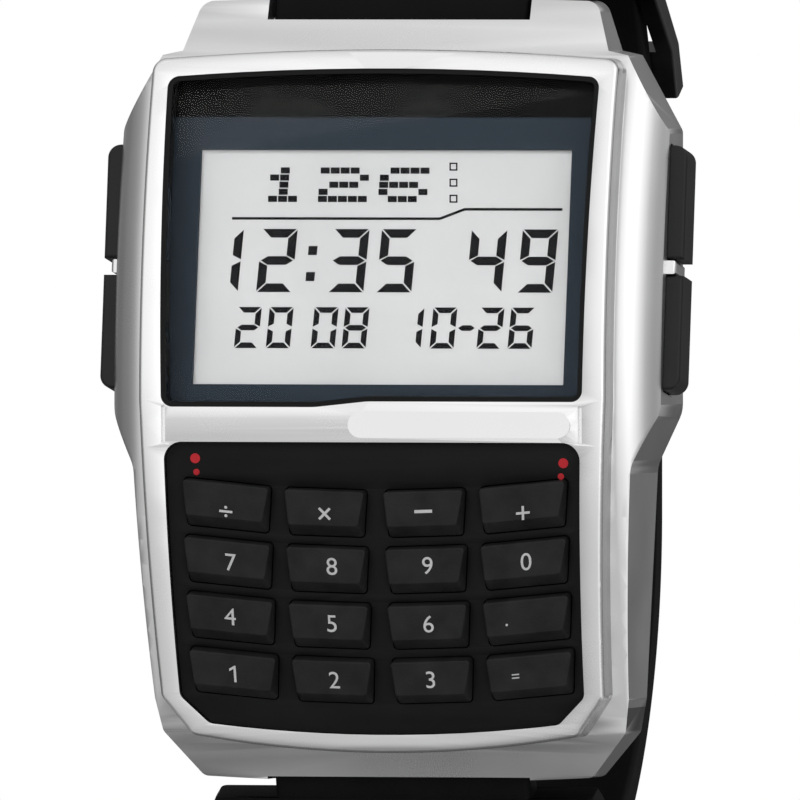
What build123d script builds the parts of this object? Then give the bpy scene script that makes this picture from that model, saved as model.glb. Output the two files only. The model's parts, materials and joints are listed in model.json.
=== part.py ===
from build123d import *
import math
import os

os.makedirs("parts", exist_ok=True)

# Frame: +X to the right of the face, +Z towards twelve o'clock. The face looks along -Y and
# the case back's outer face is the plane Y = 0. A depth counts from the crest of the face
# towards the case back. Lengths are millimetres, angles are degrees.

# Case as a whole
front_radius = 65.0         # the face bows about a line across the watch
pod_half_width = 19.25      # widest part of the case, where the side buttons sit
overrun = 1.0               # how far cutting and trimming shapes run past the material
free_gap = 0.3              # room between pieces that move past each other
running_gap = 0.04          # radial room of a shaft in its hole

# Bezel: the bright front frame
bezel_half_width = 16.4
bezel_corner_height = 23.3
bezel_top_crown = 0.7
bezel_low_half_width = 15.6
bezel_low_drop = 20.4
bezel_foot_half_width = 13.6
bezel_foot_drop = 23.1
bezel_foot_crown = 1.2
bezel_thickness = 1.7
bezel_corner_radius = 1.0
bezel_foot_radius = 0.8
bezel_edge_radius = 0.3

# Window over the display, and the seal around it
window_side_rim = 1.2       # bezel metal beside the window at its top corner
window_top_rim = 1.2
window_top_crown = 0.6
window_low_taper = 0.4      # how much narrower each side is at the window's foot
window_foot_drop = 0.1      # below the crest on the right-hand part
window_foot_step = 0.4      # the left-hand part of the foot lies lower by this
window_step_from = 0.3      # the step's right end, left of the middle
window_step_width = 3.7
window_corner_radius = 0.8
window_step_radius = 3.0
seal_width = 0.35
seal_sink = 0.12            # below the bezel's face
seal_height = 1.4
window_sink = 0.2
window_thickness = 1.15

# Keypad panel, and the bar of the bezel between it and the window
panel_top_drop = 2.9
panel_side_rim = 1.75
panel_low_side_rim = 1.36
panel_foot_side_rim = 1.3
panel_foot_rim = 0.8
panel_foot_crown = 0.75
panel_corner_radius = 1.25
panel_sink = 0.55
panel_thickness = 1.05
panel_fit = 0.05            # room round the panel in the bezel
panel_ledge = 0.3           # the panel's back steps in by this, to clear the keys
panel_flange_height = 0.4   # edge of the panel that sits behind the bezel
lower_stack_drop = 1.6      # top edge of that flange and of the sheets behind it
plate_left = 1.6            # plain raised plate on the bar, from the middle to the left
plate_right = 14.0
plate_height = 1.8
plate_rise = 0.22
bar_slot_width = 0.28       # thin upright slots at the ends of the bar
bar_slot_depth = 0.5

# Keys
key_columns = 4
key_rows = 4
key_pitch_across = 6.95
key_pitch_down = 3.97
key_first_row_drop = 4.55   # from the panel's top edge to the first row, at the middle of the face
key_offset = 0.15           # the block of keys sits right of the middle by this
key_smile_radius = 105.0    # each row of keys hangs along this arc
key_column_gap = 1.3        # between the top edges of the inner keys
key_outer_extra = 0.45      # the keys of the outer columns are wider by this
key_row_gap = 0.77
key_taper = 0.8             # a key's lower edge is shorter by this
key_low_shift = 0.17        # and its middle lies left by this
key_low_slope = 0.8         # the lower side of a key slopes out by this
key_right_slope = 0.3       # so does the right side, at its lower end
key_proud = 0.25            # key faces stand above the bezel's face by this
key_base_depth = 2.2
key_flange = 0.25
key_flange_height = 0.4
key_flange_gap = 0.1
key_corner_radius = 0.25
key_edge_radius = 0.12
key_fit = 0.1
key_travel = 0.4

# Rubber sheet, contact film and their backing under the keys
sheet_gap = 0.08
sheet_bump_height = 0.3
sheet_bump_radius = 1.0
sheet_thickness = 0.6
sheet_lip = 0.7             # width of the sheet's raised edge
film_thickness = 0.2

# Case body
body_flank_start = 0.1      # the flank starts this far outside the bezel
flank_mid_out_share = 0.64
flank_mid_depth_share = 0.33
plinth_height = 1.0         # the body carries the bezel on a wall of the bezel's outline
flank_depth = 2.2           # from the plinth's foot to where the side turns flat
shoulder_height = 18.4      # foot of the slope at the top of the button pods
pod_foot_drop = 0.9
waist_half_width = 17.5
waist_drop = 4.6
body_low_half_width = 16.7
body_low_drop = 20.6
body_heel_half_width = 16.3
body_heel_drop = 22.9
body_chin_half_width = 13.7
chin_reach = 1.0            # the body goes this far past the lower bar
body_chin_crown = 0.4
pod_foot_radius = 2.4
heel_radius = 0.7
crown_base_half_width = 15.0   # piece above the bezel, between the case and the strap
crown_base_rise = 0.6       # above the bezel's corners
crown_tip_half_width = 13.9
crown_reach = 1.7           # the body goes this far past the upper bar
crown_tip_bow = 0.25
crown_tip_radius = 1.1
crown_slope_depth = 1.7     # how far the slopes at the two ends fall back
chin_slope_depth = 1.5
slot_cover = 0.7            # wall of the body in front of the strap's ends
pocket_cover = 0.8
body_back_inset = 0.6       # the case back stands proud of the body by this
pocket_wall = 0.9           # seat left under the bezel's edge, round the module pocket

# Case back
back_inset = 0.3            # from the bezel's outline
back_thickness = 1.1
back_foot_inset = 0.6       # the back stops short of the bezel's foot, to clear the lower bar
back_clearance = 0.2
slot_wall = 0.6             # between the back's recess and the strap's slots
back_edge_radius = 0.25
back_fit = 0.05
boss_inset = 1.5
boss_radius = 1.7
boss_height = 2.0
screw_radius = 0.5
screw_length = 1.7
screw_head_radius = 0.95
screw_head_height = 0.5
screw_slot_width = 0.25
gasket_inset = 0.2
gasket_width = 0.35
gasket_height = 0.3

# Side buttons
button_centre_height = 10.0
button_front = 6.0          # depth of the caps' front faces under the face
button_height = 3.0
button_length = 7.9
button_gap = 1.16
button_proud = 1.2
button_tail = 0.8           # part of the cap inside its pocket
button_travel = 0.6
button_end_radius = 0.9
button_edge_radius = 0.25
button_fit = 0.12
button_end_room = 0.25      # left under the cap at the end of its travel
post_proud = 0.65
post_edge_radius = 0.2
stem_radius = 0.45
stem_in_cap = 0.8
stem_head_radius = 0.8
stem_head_length = 0.4
stem_head_gap = 0.05
spring_bore_radius = 1.2
spring_bore_depth = 0.8
spring_wire_radius = 0.1
spring_coil_radius = 0.9
spring_turns = 3
seal_bore_depth = 0.6
o_ring_section = 0.15

# Display stack and module
mask_depth = 2.8            # under the face's tangent plane at the window's middle
mask_thickness = 0.3
mask_foot_drop = 0.5
lcd_opening_half_width = 13.05
lcd_opening_top = 17.1
lcd_opening_foot = 1.03
lcd_margin = 0.45
lcd_glass_thickness = 1.5
light_panel_thickness = 0.5
connector_width = 0.8
module_side_gap = 1.6
module_end_gap = 0.5
module_light_gap = 0.1
board_clearance = 0.7       # behind the key film, at its foot
board_thickness = 0.8
battery_radius = 9.0
battery_thickness = 1.6
battery_drop = 9.0
battery_gap = 0.1
battery_edge_radius = 0.2
clip_thickness = 0.2
clip_width = 4.0
clip_foot = 1.2
chip_size = 5.0
chip_height = 0.9
chip_height_on_board = 14.0
chip_offset = 7.5
crystal_radius = 0.75
crystal_length = 5.0
crystal_offset = 11.8
crystal_height_on_board = 7.0
buzzer_radius = 5.5
buzzer_thickness = 0.3
buzzer_height = 11.5
buzzer_offset = 3.0
buzzer_spring_radius = 0.8
buzzer_spring_wire = 0.12
buzzer_spring_turns = 4

# Strap: two bands that close to a loop behind the case
bar_inset = 2.2             # from the case back's outer face
bar_tube_radius = 0.7
bar_pin_radius = 0.4
bar_pin_reach = 1.5
strap_thickness = 2.4
strap_half_width = 13.7
strap_band_half_width = 9.5
strap_tongue_half_width = 9.0
strap_taper_start = 2.5     # behind the case back's outer face
strap_taper_run = 11.0
strap_side_gap = 0.25
strap_floor_gap = 0.45
strap_end_gap = 0.3
eye_wall = 0.75
near_radius = 11.9          # bend where the strap leaves the case
near_set = 2.1              # that bend's centre lies this far from the bar towards the middle
far_radius = 26.3
buckle_angle = 26.0         # where the lower band starts to cross to the outside
crossing_radius = 10.0
layer_rise = 3.3            # outer layer's middle above the inner layer's middle
tail_angle = 98.0
tail_radius = 7.0
pin_angle = 54.0
pin_radius = 0.5
pin_eye_radius = 1.3
buckle_half_width = 11.1
buckle_gap = 0.25
buckle_arm_height = 2.0
buckle_bar_length = 3.6
buckle_bar_height = 1.7
buckle_edge_radius = 0.3
buckle_bar_reach = 11.5     # pin to the middle of the far bar, along the band
prong_width = 1.5
prong_thickness = 0.9
prong_lean = 2.6
prong_eye_radius = 1.15
prong_knee_gap = 0.6        # under the prong where it bends over the outer layer
prong_rest_gap = 0.1
prong_tip_reach = 0.9       # the prong ends this far past the middle of the far bar
hole_half_width = 1.05
hole_lead = 1.05            # the hole's middle lies this far before the pin
hole_length = 3.5
hole_pitch = 6.2
holes_below_buckle = 5
tail_holes = 2
keeper_angle = 76.0
keeper_length = 4.0
keeper_wall = 1.1
keeper_gap = 0.35
keeper_corner_radius = 0.9
field_sink = 0.35           # sunk field on the strap's face beside the case
field_border = 2.2
field_length = 6.0


def bow(height):
    """Depth of the bowed face at a height."""
    return front_radius - math.sqrt(front_radius**2 - height**2)


# The stack from the keys to the case back, which gives the case its depth: about 12.5
panel_back = panel_sink + panel_thickness
key_flange_back = panel_back + key_flange_gap + key_flange_height
panel_flange_back = bezel_thickness + panel_flange_height
bump_front = key_base_depth + key_travel + sheet_gap
sheet_front = bump_front + sheet_bump_height
sheet_back = sheet_front + sheet_thickness
film_back = sheet_back + film_thickness
back_foot_drop = bezel_foot_drop - back_foot_inset
board_depth = round(film_back + bow(back_foot_drop) + board_clearance, 1)
board_back = board_depth + board_thickness
battery_back = board_back + battery_gap + battery_thickness
clip_back = battery_back + clip_thickness
back_front_depth = clip_back + back_clearance
case_depth = back_front_depth + back_thickness
bow_centre_y = front_radius - case_depth
wide = pod_half_width + overrun

# The bars, and the ends of the body round them
bar_depth = case_depth - bar_inset
eye_radius = bar_tube_radius + eye_wall
slot_room = eye_radius + strap_floor_gap
slot_front_depth = bar_depth - slot_room
slot_floor_height = bezel_corner_height + bezel_top_crown - back_inset
slot_floor_drop = back_foot_drop + slot_wall
upper_bar_height = slot_floor_height + slot_room
lower_bar_drop = slot_floor_drop + slot_room
crown_base_height = bezel_corner_height + crown_base_rise
crown_tip_height = upper_bar_height + crown_reach
body_chin_drop = lower_bar_drop + chin_reach
body_foot_drop = body_chin_drop + body_chin_crown
end_tip_depth = slot_front_depth - slot_cover
pocket_step_depth = slot_front_depth - pocket_cover
body_back_depth = case_depth - body_back_inset
strap_taper_from = case_depth + strap_taper_start
strap_taper_to = strap_taper_from + strap_taper_run
slot_half_width = strap_tongue_half_width + strap_side_gap
bar_reach = strap_tongue_half_width + bar_pin_reach


def y_at(depth):
    """Y of a depth under the crest of the face."""
    return depth - case_depth


def front_plane(depth):
    """Plane square to the line of sight. Its sketches read X and Z, and it looks to the front."""
    return Plane.XZ.offset(case_depth - depth)


def seat_plane(height, depth, offset_x=0):
    """Plane laid on the bowed face at a height, sunk by a depth."""
    lean = math.asin(height / front_radius)
    reach = front_radius - depth
    origin = (offset_x, bow_centre_y - reach * math.cos(lean), reach * math.sin(lean))
    return Plane(origin=origin, x_dir=(1, 0, 0), z_dir=(0, -math.cos(lean), math.sin(lean)))


def outline(corners, top_crown, foot_crown):
    """Closed outline, the same on both sides, from right-hand corners (x, z, radius), top down."""
    right = [(x, z) for x, z, _ in corners]
    left = [(-x, z) for x, z in reversed(right)]
    with BuildSketch() as face:
        with BuildLine():
            Polyline(*right)
            if foot_crown:
                ThreePointArc(right[-1], (0, right[-1][1] - foot_crown), left[0])
            else:
                Line(right[-1], left[0])
            Polyline(*left)
            if top_crown:
                ThreePointArc(left[-1], (0, right[0][1] + top_crown), right[0])
            else:
                Line(left[-1], right[0])
        make_face()
        for x, z, radius in corners:
            if radius:
                ends = face.vertices().filter_by(
                    lambda v: abs(abs(v.X) - x) + abs(v.Y - z) < radius / 4
                )
                fillet(ends, radius=radius)
    return face.sketch


def grown(face, amount):
    """The same outline moved outwards, or inwards where the amount is negative."""
    with BuildSketch() as changed:
        add(face)
        offset(amount=amount, kind=Kind.INTERSECTION, mode=Mode.REPLACE)
    return changed.sketch


def prism(face, front_depth, back_depth):
    """Straight block of a front outline between two depths."""
    with BuildPart() as block:
        with BuildSketch(front_plane(back_depth)):
            add(face)
        extrude(amount=back_depth - front_depth)
    return block.part


def bowed_plate(face, front_depth, back_depth):
    """Plate of a front outline that follows the bowed face between two depths."""
    deepest = back_depth + bow(crown_tip_height) + overrun
    with BuildPart() as plate:
        add(prism(face, front_depth - overrun, deepest))
        with BuildSketch(Plane.YZ.offset(-wide)):
            with Locations((bow_centre_y, 0)):
                Circle(front_radius - front_depth)
                Circle(front_radius - back_depth, mode=Mode.SUBTRACT)
        extrude(amount=2 * wide, mode=Mode.INTERSECT)
    return plate.part


def rod(radius, half_length, centre):
    """Cylinder along X, with its middle at a point in Y and Z."""
    with BuildPart() as bar:
        with BuildSketch(Plane.YZ.offset(-half_length)):
            with Locations(centre):
                Circle(radius)
        extrude(amount=2 * half_length)
    return bar.part


def profile_block(face, half_length):
    """Block of a side profile in Y and Z, over the same width on both sides of the middle."""
    with BuildPart() as block:
        with BuildSketch(Plane.YZ.offset(-half_length)):
            add(face)
        extrude(amount=2 * half_length)
    return block.part


def coil(plane, radius, wire_radius, length, turns):
    """Unbroken coil spring that stands on a plane, with its axis along the plane's normal."""
    pitch = (length - 2 * wire_radius) / turns
    base = plane.offset(wire_radius)
    with BuildLine() as path:
        Helix(
            pitch=pitch, height=pitch * turns, radius=radius, center=base.origin, direction=base.z_dir
        )
    helix = path.wire()
    with BuildPart() as spring:
        with BuildSketch(Plane(origin=helix @ 0, z_dir=helix % 0)):
            Circle(wire_radius)
        sweep(path=helix, is_frenet=True)
    return spring.part


def save(part, name):
    """Label a finished piece and write it."""
    part.label = name
    export_step(part, f"parts/{name}.step")


# Outlines seen from the front

bezel_face = outline(
    [
        (bezel_half_width, bezel_corner_height, bezel_corner_radius),
        (bezel_half_width, 0, 0),
        (bezel_low_half_width, -bezel_low_drop, bezel_foot_radius),
        (bezel_foot_half_width, -bezel_foot_drop, bezel_foot_radius),
    ],
    bezel_top_crown,
    bezel_foot_crown,
)

panel_top_half_width = bezel_half_width - panel_side_rim
panel_foot_half_width = bezel_foot_half_width - panel_foot_side_rim
panel_foot_drop = bezel_foot_drop - panel_foot_rim
panel_face = outline(
    [
        (panel_top_half_width, -panel_top_drop, panel_corner_radius),
        (bezel_low_half_width - panel_low_side_rim, -bezel_low_drop, bezel_foot_radius),
        (panel_foot_half_width, -panel_foot_drop, bezel_foot_radius),
    ],
    0,
    panel_foot_crown,
)

window_half_width = bezel_half_width - window_side_rim
window_top = bezel_corner_height - window_top_rim
window_foot_half_width = window_half_width - window_low_taper
window_low_foot = -(window_foot_drop + window_foot_step)
with BuildSketch() as window_sketch:
    with BuildLine():
        Polyline(
            (window_half_width, window_top),
            (window_foot_half_width, -window_foot_drop),
            (-window_step_from, -window_foot_drop),
            (-(window_step_from + window_step_width), window_low_foot),
            (-window_foot_half_width, window_low_foot),
            (-window_half_width, window_top),
        )
        ThreePointArc(
            (-window_half_width, window_top),
            (0, window_top + window_top_crown),
            (window_half_width, window_top),
        )
    make_face()
    window_ends = window_sketch.vertices().filter_by(
        lambda v: abs(v.X) > window_foot_half_width - window_low_taper
    )
    fillet(window_ends, radius=window_corner_radius)
    window_steps = window_sketch.vertices().filter_by(
        lambda v: -window_foot_half_width / 2 < v.X < 0
    )
    fillet(window_steps, radius=window_step_radius)
window_face = window_sketch.sketch
seal_inner_face = grown(window_face, -seal_width)
pocket_face = grown(bezel_face, -pocket_wall)
with BuildSketch() as back_sketch:
    add(grown(bezel_face, -back_inset))
    with Locations((0, -back_foot_drop)):
        Rectangle(2 * wide, 3 * bezel_corner_height, align=(Align.CENTER, Align.MIN), mode=Mode.INTERSECT)
back_face = back_sketch.sketch
pocket_back_face = grown(back_face, back_inset - pocket_wall)
opening_depth = bezel_thickness + bow(crown_tip_height)

# Bezel, window and the window's seal

bar_middle_drop = (window_foot_drop + panel_top_drop) / 2 + window_foot_step / 2
with BuildPart() as bezel:
    add(bowed_plate(bezel_face, 0, bezel_thickness))
    bowed_faces = bezel.faces().sort_by(SortBy.AREA)[-2:]
    fillet(bowed_faces.sort_by(Axis.Y)[0].edges(), radius=bezel_edge_radius)
    add(prism(window_face, -overrun, opening_depth), mode=Mode.SUBTRACT)
    add(prism(panel_face, -overrun, opening_depth), mode=Mode.SUBTRACT)
    with BuildSketch(front_plane(bezel_thickness / 2)):
        with Locations(((plate_right - plate_left) / 2, -bar_middle_drop)):
            SlotOverall(plate_left + plate_right, plate_height)
    extrude(amount=bezel_thickness / 2 + plate_rise)
    with BuildSketch(front_plane(bar_slot_depth)):
        with Locations((panel_top_half_width, -bar_middle_drop), (-panel_top_half_width, -bar_middle_drop)):
            SlotOverall(panel_top_drop - bar_slot_width, bar_slot_width, rotation=90)
    extrude(amount=bar_slot_depth + overrun, mode=Mode.SUBTRACT)
save(bezel.part, "bezel")

with BuildPart() as window_seal:
    add(bowed_plate(window_face, seal_sink, seal_sink + seal_height))
    add(prism(seal_inner_face, -overrun, opening_depth + overrun), mode=Mode.SUBTRACT)
save(window_seal.part, "window_seal")

with BuildPart() as window:
    add(bowed_plate(seal_inner_face, window_sink, window_sink + window_thickness))
save(window.part, "window")

# Case body

body_face = outline(
    [
        (crown_tip_half_width, crown_tip_height, crown_tip_radius),
        (crown_base_half_width, crown_base_height, 0),
        (bezel_half_width, bezel_corner_height + bezel_edge_radius, 0),
        (pod_half_width, shoulder_height, heel_radius),
        (pod_half_width, -pod_foot_drop, pod_foot_radius),
        (waist_half_width, -waist_drop, pod_foot_radius),
        (body_low_half_width, -body_low_drop, heel_radius),
        (body_heel_half_width, -body_heel_drop, heel_radius),
        (body_chin_half_width, -body_chin_drop, heel_radius),
    ],
    crown_tip_bow,
    body_chin_crown,
)

flank_start = bezel_half_width + body_flank_start
flank_run = pod_half_width - flank_start
flank_front = bezel_thickness + plinth_height
side_depth = flank_front + flank_depth
screw_places = [
    (side * x, z)
    for side in (1, -1)
    for x, z in (
        (bezel_half_width - pocket_wall - boss_inset, bezel_corner_height - pocket_wall - boss_inset),
        (bezel_low_half_width - pocket_wall - boss_inset, boss_inset - bezel_low_drop - pocket_wall),
    )
]

# The buttons of both sides lie in one frame that leans with the face
button_seat = seat_plane(button_centre_height, 0)


def side_plane(offset_x):
    """Plane on the right-hand side: sketch x runs up along the case, sketch y to the front."""
    return Plane(
        origin=button_seat.origin + Vector(offset_x, 0, 0),
        x_dir=button_seat.y_dir,
        z_dir=(1, 0, 0),
    )


button_shift = (button_length + button_gap) / 2
button_middle = -(button_front + button_height / 2)
button_centres = {"upper": (button_shift, button_middle), "lower": (-button_shift, button_middle)}
button_pocket_depth = button_tail + button_travel + button_end_room
pocket_floor_x = pod_half_width - button_pocket_depth
spring_seat_x = pocket_floor_x - spring_bore_depth
o_ring_seat_x = spring_seat_x - seal_bore_depth
cap_inner_x = pod_half_width - button_tail
cap_outer_x = pod_half_width + button_proud
bore_radius = stem_radius + running_gap
o_ring_bore_radius = stem_radius + 2 * o_ring_section + running_gap
pocket_wall_x = bezel_half_width - pocket_wall

with BuildPart() as button_cuts:
    for centre in button_centres.values():
        with BuildSketch(side_plane(pocket_floor_x)):
            with Locations(centre):
                RectangleRounded(
                    button_length + 2 * button_fit,
                    button_height + 2 * button_fit,
                    button_edge_radius + button_fit,
                )
        extrude(amount=button_pocket_depth + overrun)
        with BuildSketch(side_plane(spring_seat_x)):
            with Locations(centre):
                Circle(spring_bore_radius)
        extrude(amount=spring_bore_depth)
        with BuildSketch(side_plane(o_ring_seat_x)):
            with Locations(centre):
                Circle(o_ring_bore_radius)
        extrude(amount=seal_bore_depth)
        with BuildSketch(side_plane(pocket_wall_x - 2 * overrun)):
            with Locations(centre):
                Circle(bore_radius)
        extrude(amount=o_ring_seat_x - pocket_wall_x + 2 * overrun)
    mirror(about=Plane.YZ)

with BuildPart() as posts:
    with BuildSketch(side_plane(pod_half_width - button_tail)):
        with Locations((0, button_middle)):
            Rectangle(button_gap - 2 * button_fit, button_height)
    extrude(amount=button_tail + post_proud)
    fillet(posts.faces().sort_by(Axis.X)[-1].edges(), radius=post_edge_radius)
    mirror(about=Plane.YZ)

with BuildSketch() as body_side_sketch:
    with BuildLine():
        Polyline(
            (y_at(-overrun), crown_base_height),
            (y_at(end_tip_depth - crown_slope_depth), crown_base_height),
            (y_at(end_tip_depth), crown_tip_height + crown_tip_bow),
            (y_at(body_back_depth), crown_tip_height + crown_tip_bow),
            (y_at(body_back_depth), -body_foot_drop),
            (y_at(end_tip_depth), -body_foot_drop),
            (y_at(end_tip_depth - chin_slope_depth), -(bezel_foot_drop + bezel_foot_crown)),
            (y_at(-overrun), -(bezel_foot_drop + bezel_foot_crown)),
            close=True,
        )
    make_face()

with BuildPart() as case_body:
    with BuildSketch(Plane.XY):
        with BuildLine():
            Line((0, y_at(flank_front)), (flank_start, y_at(flank_front)))
            ThreePointArc(
                (flank_start, y_at(flank_front)),
                (
                    flank_start + flank_run * flank_mid_out_share,
                    y_at(flank_front + flank_depth * flank_mid_depth_share),
                ),
                (pod_half_width, y_at(side_depth)),
            )
            Polyline(
                (pod_half_width, y_at(side_depth)),
                (pod_half_width, y_at(2 * case_depth)),
                (0, y_at(2 * case_depth)),
                (0, y_at(flank_front)),
            )
        make_face()
        mirror(about=Plane.YZ)
    revolve(axis=Axis((0, bow_centre_y, 0), (1, 0, 0)))
    add(prism(body_face, -overrun, body_back_depth), mode=Mode.INTERSECT)
    add(profile_block(body_side_sketch.sketch, wide), mode=Mode.INTERSECT)
    add(bowed_plate(bezel_face, bezel_thickness, flank_front + overrun))
    add(prism(pocket_face, -overrun, pocket_step_depth), mode=Mode.SUBTRACT)
    add(prism(pocket_back_face, -overrun, case_depth), mode=Mode.SUBTRACT)
    with BuildSketch(front_plane(back_front_depth)):
        with Locations(*screw_places):
            Circle(boss_radius)
    extrude(amount=boss_height)
    add(prism(grown(back_face, back_fit), back_front_depth, case_depth), mode=Mode.SUBTRACT)
    with BuildSketch(front_plane(back_front_depth)):
        add(grown(pocket_back_face, gasket_inset + gasket_width))
        add(grown(pocket_back_face, gasket_inset), mode=Mode.SUBTRACT)
    extrude(amount=gasket_height, mode=Mode.SUBTRACT)
    with BuildSketch(front_plane(back_front_depth)):
        with Locations(*screw_places):
            Circle(screw_radius)
    extrude(amount=screw_length, mode=Mode.SUBTRACT)
    with BuildSketch(front_plane(slot_front_depth)):
        with Locations((0, slot_floor_height)):
            Rectangle(
                2 * slot_half_width,
                crown_tip_height - slot_floor_height + overrun,
                align=(Align.CENTER, Align.MIN),
            )
        with Locations((0, -slot_floor_drop)):
            Rectangle(
                2 * slot_half_width,
                body_foot_drop - slot_floor_drop + overrun,
                align=(Align.CENTER, Align.MAX),
            )
    extrude(amount=-(case_depth - slot_front_depth), mode=Mode.SUBTRACT)
    add(rod(bar_pin_radius, bar_reach, (y_at(bar_depth), upper_bar_height)), mode=Mode.SUBTRACT)
    add(rod(bar_pin_radius, bar_reach, (y_at(bar_depth), -lower_bar_drop)), mode=Mode.SUBTRACT)
    add(posts.part)
    add(button_cuts.part, mode=Mode.SUBTRACT)
save(case_body.part, "case_body")

# Case back, its screws and its gasket

with BuildPart() as case_back:
    add(prism(back_face, back_front_depth, case_depth))
    fillet(case_back.faces().sort_by(Axis.Y)[-1].edges(), radius=back_edge_radius)
    with BuildSketch(front_plane(case_depth)):
        with Locations(*screw_places):
            Circle(screw_radius)
    extrude(amount=back_thickness, mode=Mode.SUBTRACT)
    with BuildSketch(front_plane(case_depth)):
        with Locations(*screw_places):
            Circle(screw_head_radius)
    extrude(amount=screw_head_height, mode=Mode.SUBTRACT)
save(case_back.part, "case_back")

with BuildPart() as back_screws:
    with BuildSketch(front_plane(case_depth)):
        with Locations(*screw_places):
            Circle(screw_radius)
    extrude(amount=back_thickness + screw_length - free_gap)
    with BuildSketch(front_plane(case_depth)):
        with Locations(*screw_places):
            Circle(screw_head_radius)
    extrude(amount=screw_head_height)
    with BuildSketch(front_plane(case_depth)):
        with Locations(*screw_places):
            Rectangle(2 * screw_radius, screw_slot_width)
            Rectangle(screw_slot_width, 2 * screw_radius)
    extrude(amount=screw_head_height / 2, mode=Mode.SUBTRACT)
save(back_screws.part, "back_screws")

with BuildPart() as back_gasket:
    with BuildSketch(front_plane(back_front_depth)):
        add(grown(pocket_back_face, gasket_inset + gasket_width))
        add(grown(pocket_back_face, gasket_inset), mode=Mode.SUBTRACT)
    extrude(amount=gasket_height)
save(back_gasket.part, "back_gasket")

# Keys, and the panel that they come through

key_inner_width = key_pitch_across - key_column_gap
key_outer_width = key_inner_width + key_outer_extra
key_face_height = key_pitch_down - key_low_slope - key_row_gap
key_half_height = key_face_height / 2


def key_outline(width, tilt, low_slope, right_slope):
    """Front outline of a key, with its upper and lower edges tilted and its sides left upright."""
    half_low = (width - key_taper) / 2
    corners = (
        (-width / 2, key_half_height),
        (width / 2, key_half_height),
        (half_low - key_low_shift + right_slope, -key_half_height - low_slope),
        (-half_low - key_low_shift, -key_half_height - low_slope),
    )
    with BuildSketch() as face:
        Polygon(*[(x, z + x * tilt) for x, z in corners], align=None)
        fillet(face.vertices(), radius=key_corner_radius)
    return face.sketch


def key_shape(width, tilt):
    """A key in its own place, its face to +Z, and the cutting shape of its hole in the panel."""
    top = key_outline(width, tilt, 0, 0)
    base = key_outline(width, tilt, key_low_slope, key_right_slope)
    with BuildPart() as blank:
        with BuildSketch(Plane.XY.offset(-panel_sink)):
            add(base)
        with BuildSketch(Plane.XY.offset(key_proud)):
            add(top)
        loft(ruled=True)
        fillet(blank.faces().sort_by(Axis.Z)[-1].edges(), radius=key_edge_radius)
        with BuildSketch(Plane.XY.offset(-key_base_depth)):
            add(base)
        extrude(amount=key_base_depth - panel_sink)
        with BuildSketch(Plane.XY.offset(-key_flange_back)):
            add(grown(base, key_flange))
        extrude(amount=key_flange_height)
    with BuildPart() as hole:
        with BuildSketch(Plane.XY.offset(-(panel_back + overrun))):
            add(grown(base, key_fit))
        extrude(amount=panel_back + 2 * overrun)
    return blank.part, hole.part


key_names = (
    ("divide", "multiply", "minus", "plus"),
    ("7", "8", "9", "0"),
    ("4", "5", "6", "point"),
    ("1", "2", "3", "equals"),
)
key_seats = {}
key_holes = []
first_row_run = front_radius * math.asin((panel_top_drop + key_first_row_drop) / front_radius)
for column in range(key_columns):
    x = (column - (key_columns - 1) / 2) * key_pitch_across
    outer = column in (0, key_columns - 1)
    key_blank, key_hole = key_shape(key_outer_width if outer else key_inner_width, x / key_smile_radius)
    lift = key_smile_radius - math.sqrt(key_smile_radius**2 - x**2)
    for row in range(key_rows):
        run = first_row_run + row * key_pitch_down
        height = -front_radius * math.sin((run - lift) / front_radius)
        seat = seat_plane(height, 0, x + key_offset)
        name = "key_" + key_names[row][column]
        key_seats[name] = seat
        with BuildPart() as key:
            with Locations(seat):
                add(key_blank)
        save(key.part, name)
        with BuildPart() as cut:
            with Locations(seat):
                add(key_hole)
        key_holes.append(cut.part)

with BuildSketch() as lower_sketch:
    add(grown(pocket_face, -panel_fit))
    with Locations((0, -lower_stack_drop)):
        Rectangle(2 * wide, 2 * bezel_corner_height, align=(Align.CENTER, Align.MAX), mode=Mode.INTERSECT)
lower_face = lower_sketch.sketch
with BuildSketch() as sheet_sketch:
    add(lower_face)
    add(grown(pocket_back_face, -panel_fit), mode=Mode.INTERSECT)
sheet_face = sheet_sketch.sketch

with BuildPart() as keypad_panel:
    add(bowed_plate(grown(panel_face, -panel_fit), panel_sink, panel_flange_back))
    add(bowed_plate(lower_face, bezel_thickness, panel_flange_back))
    add(
        bowed_plate(grown(panel_face, -panel_ledge), panel_back, panel_flange_back + overrun),
        mode=Mode.SUBTRACT,
    )
    for hole in key_holes:
        add(hole, mode=Mode.SUBTRACT)
save(keypad_panel.part, "keypad_panel")

# Rubber sheet with a bump under each key, and the contact film behind it

with BuildPart() as key_sheet:
    add(bowed_plate(sheet_face, panel_flange_back, sheet_back))
    add(
        bowed_plate(grown(sheet_face, -sheet_lip), panel_flange_back - overrun, sheet_front),
        mode=Mode.SUBTRACT,
    )
    for seat in key_seats.values():
        with BuildSketch(seat.offset(-(sheet_front + sheet_thickness / 2))):
            Circle(sheet_bump_radius)
        extrude(amount=sheet_bump_height + sheet_thickness / 2)
save(key_sheet.part, "key_sheet")

save(bowed_plate(sheet_face, sheet_back, film_back), "key_film")

# Display stack, laid parallel to the face at the window's middle

window_middle = (window_top - window_foot_drop) / 2
display_lean = math.asin(window_middle / front_radius)
module_width = 2 * (bezel_half_width - pocket_wall - module_side_gap)
module_step = lower_stack_drop - free_gap


def display_plane(depth):
    """Plane parallel to the display at a depth; its sketches read X and the run up the display."""
    return seat_plane(window_middle, depth)


def up_display(height, depth):
    """Run up the display plane at a depth that comes out at a height on the front."""
    return (height - (front_radius - depth) * math.sin(display_lean)) / math.cos(display_lean)


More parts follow.
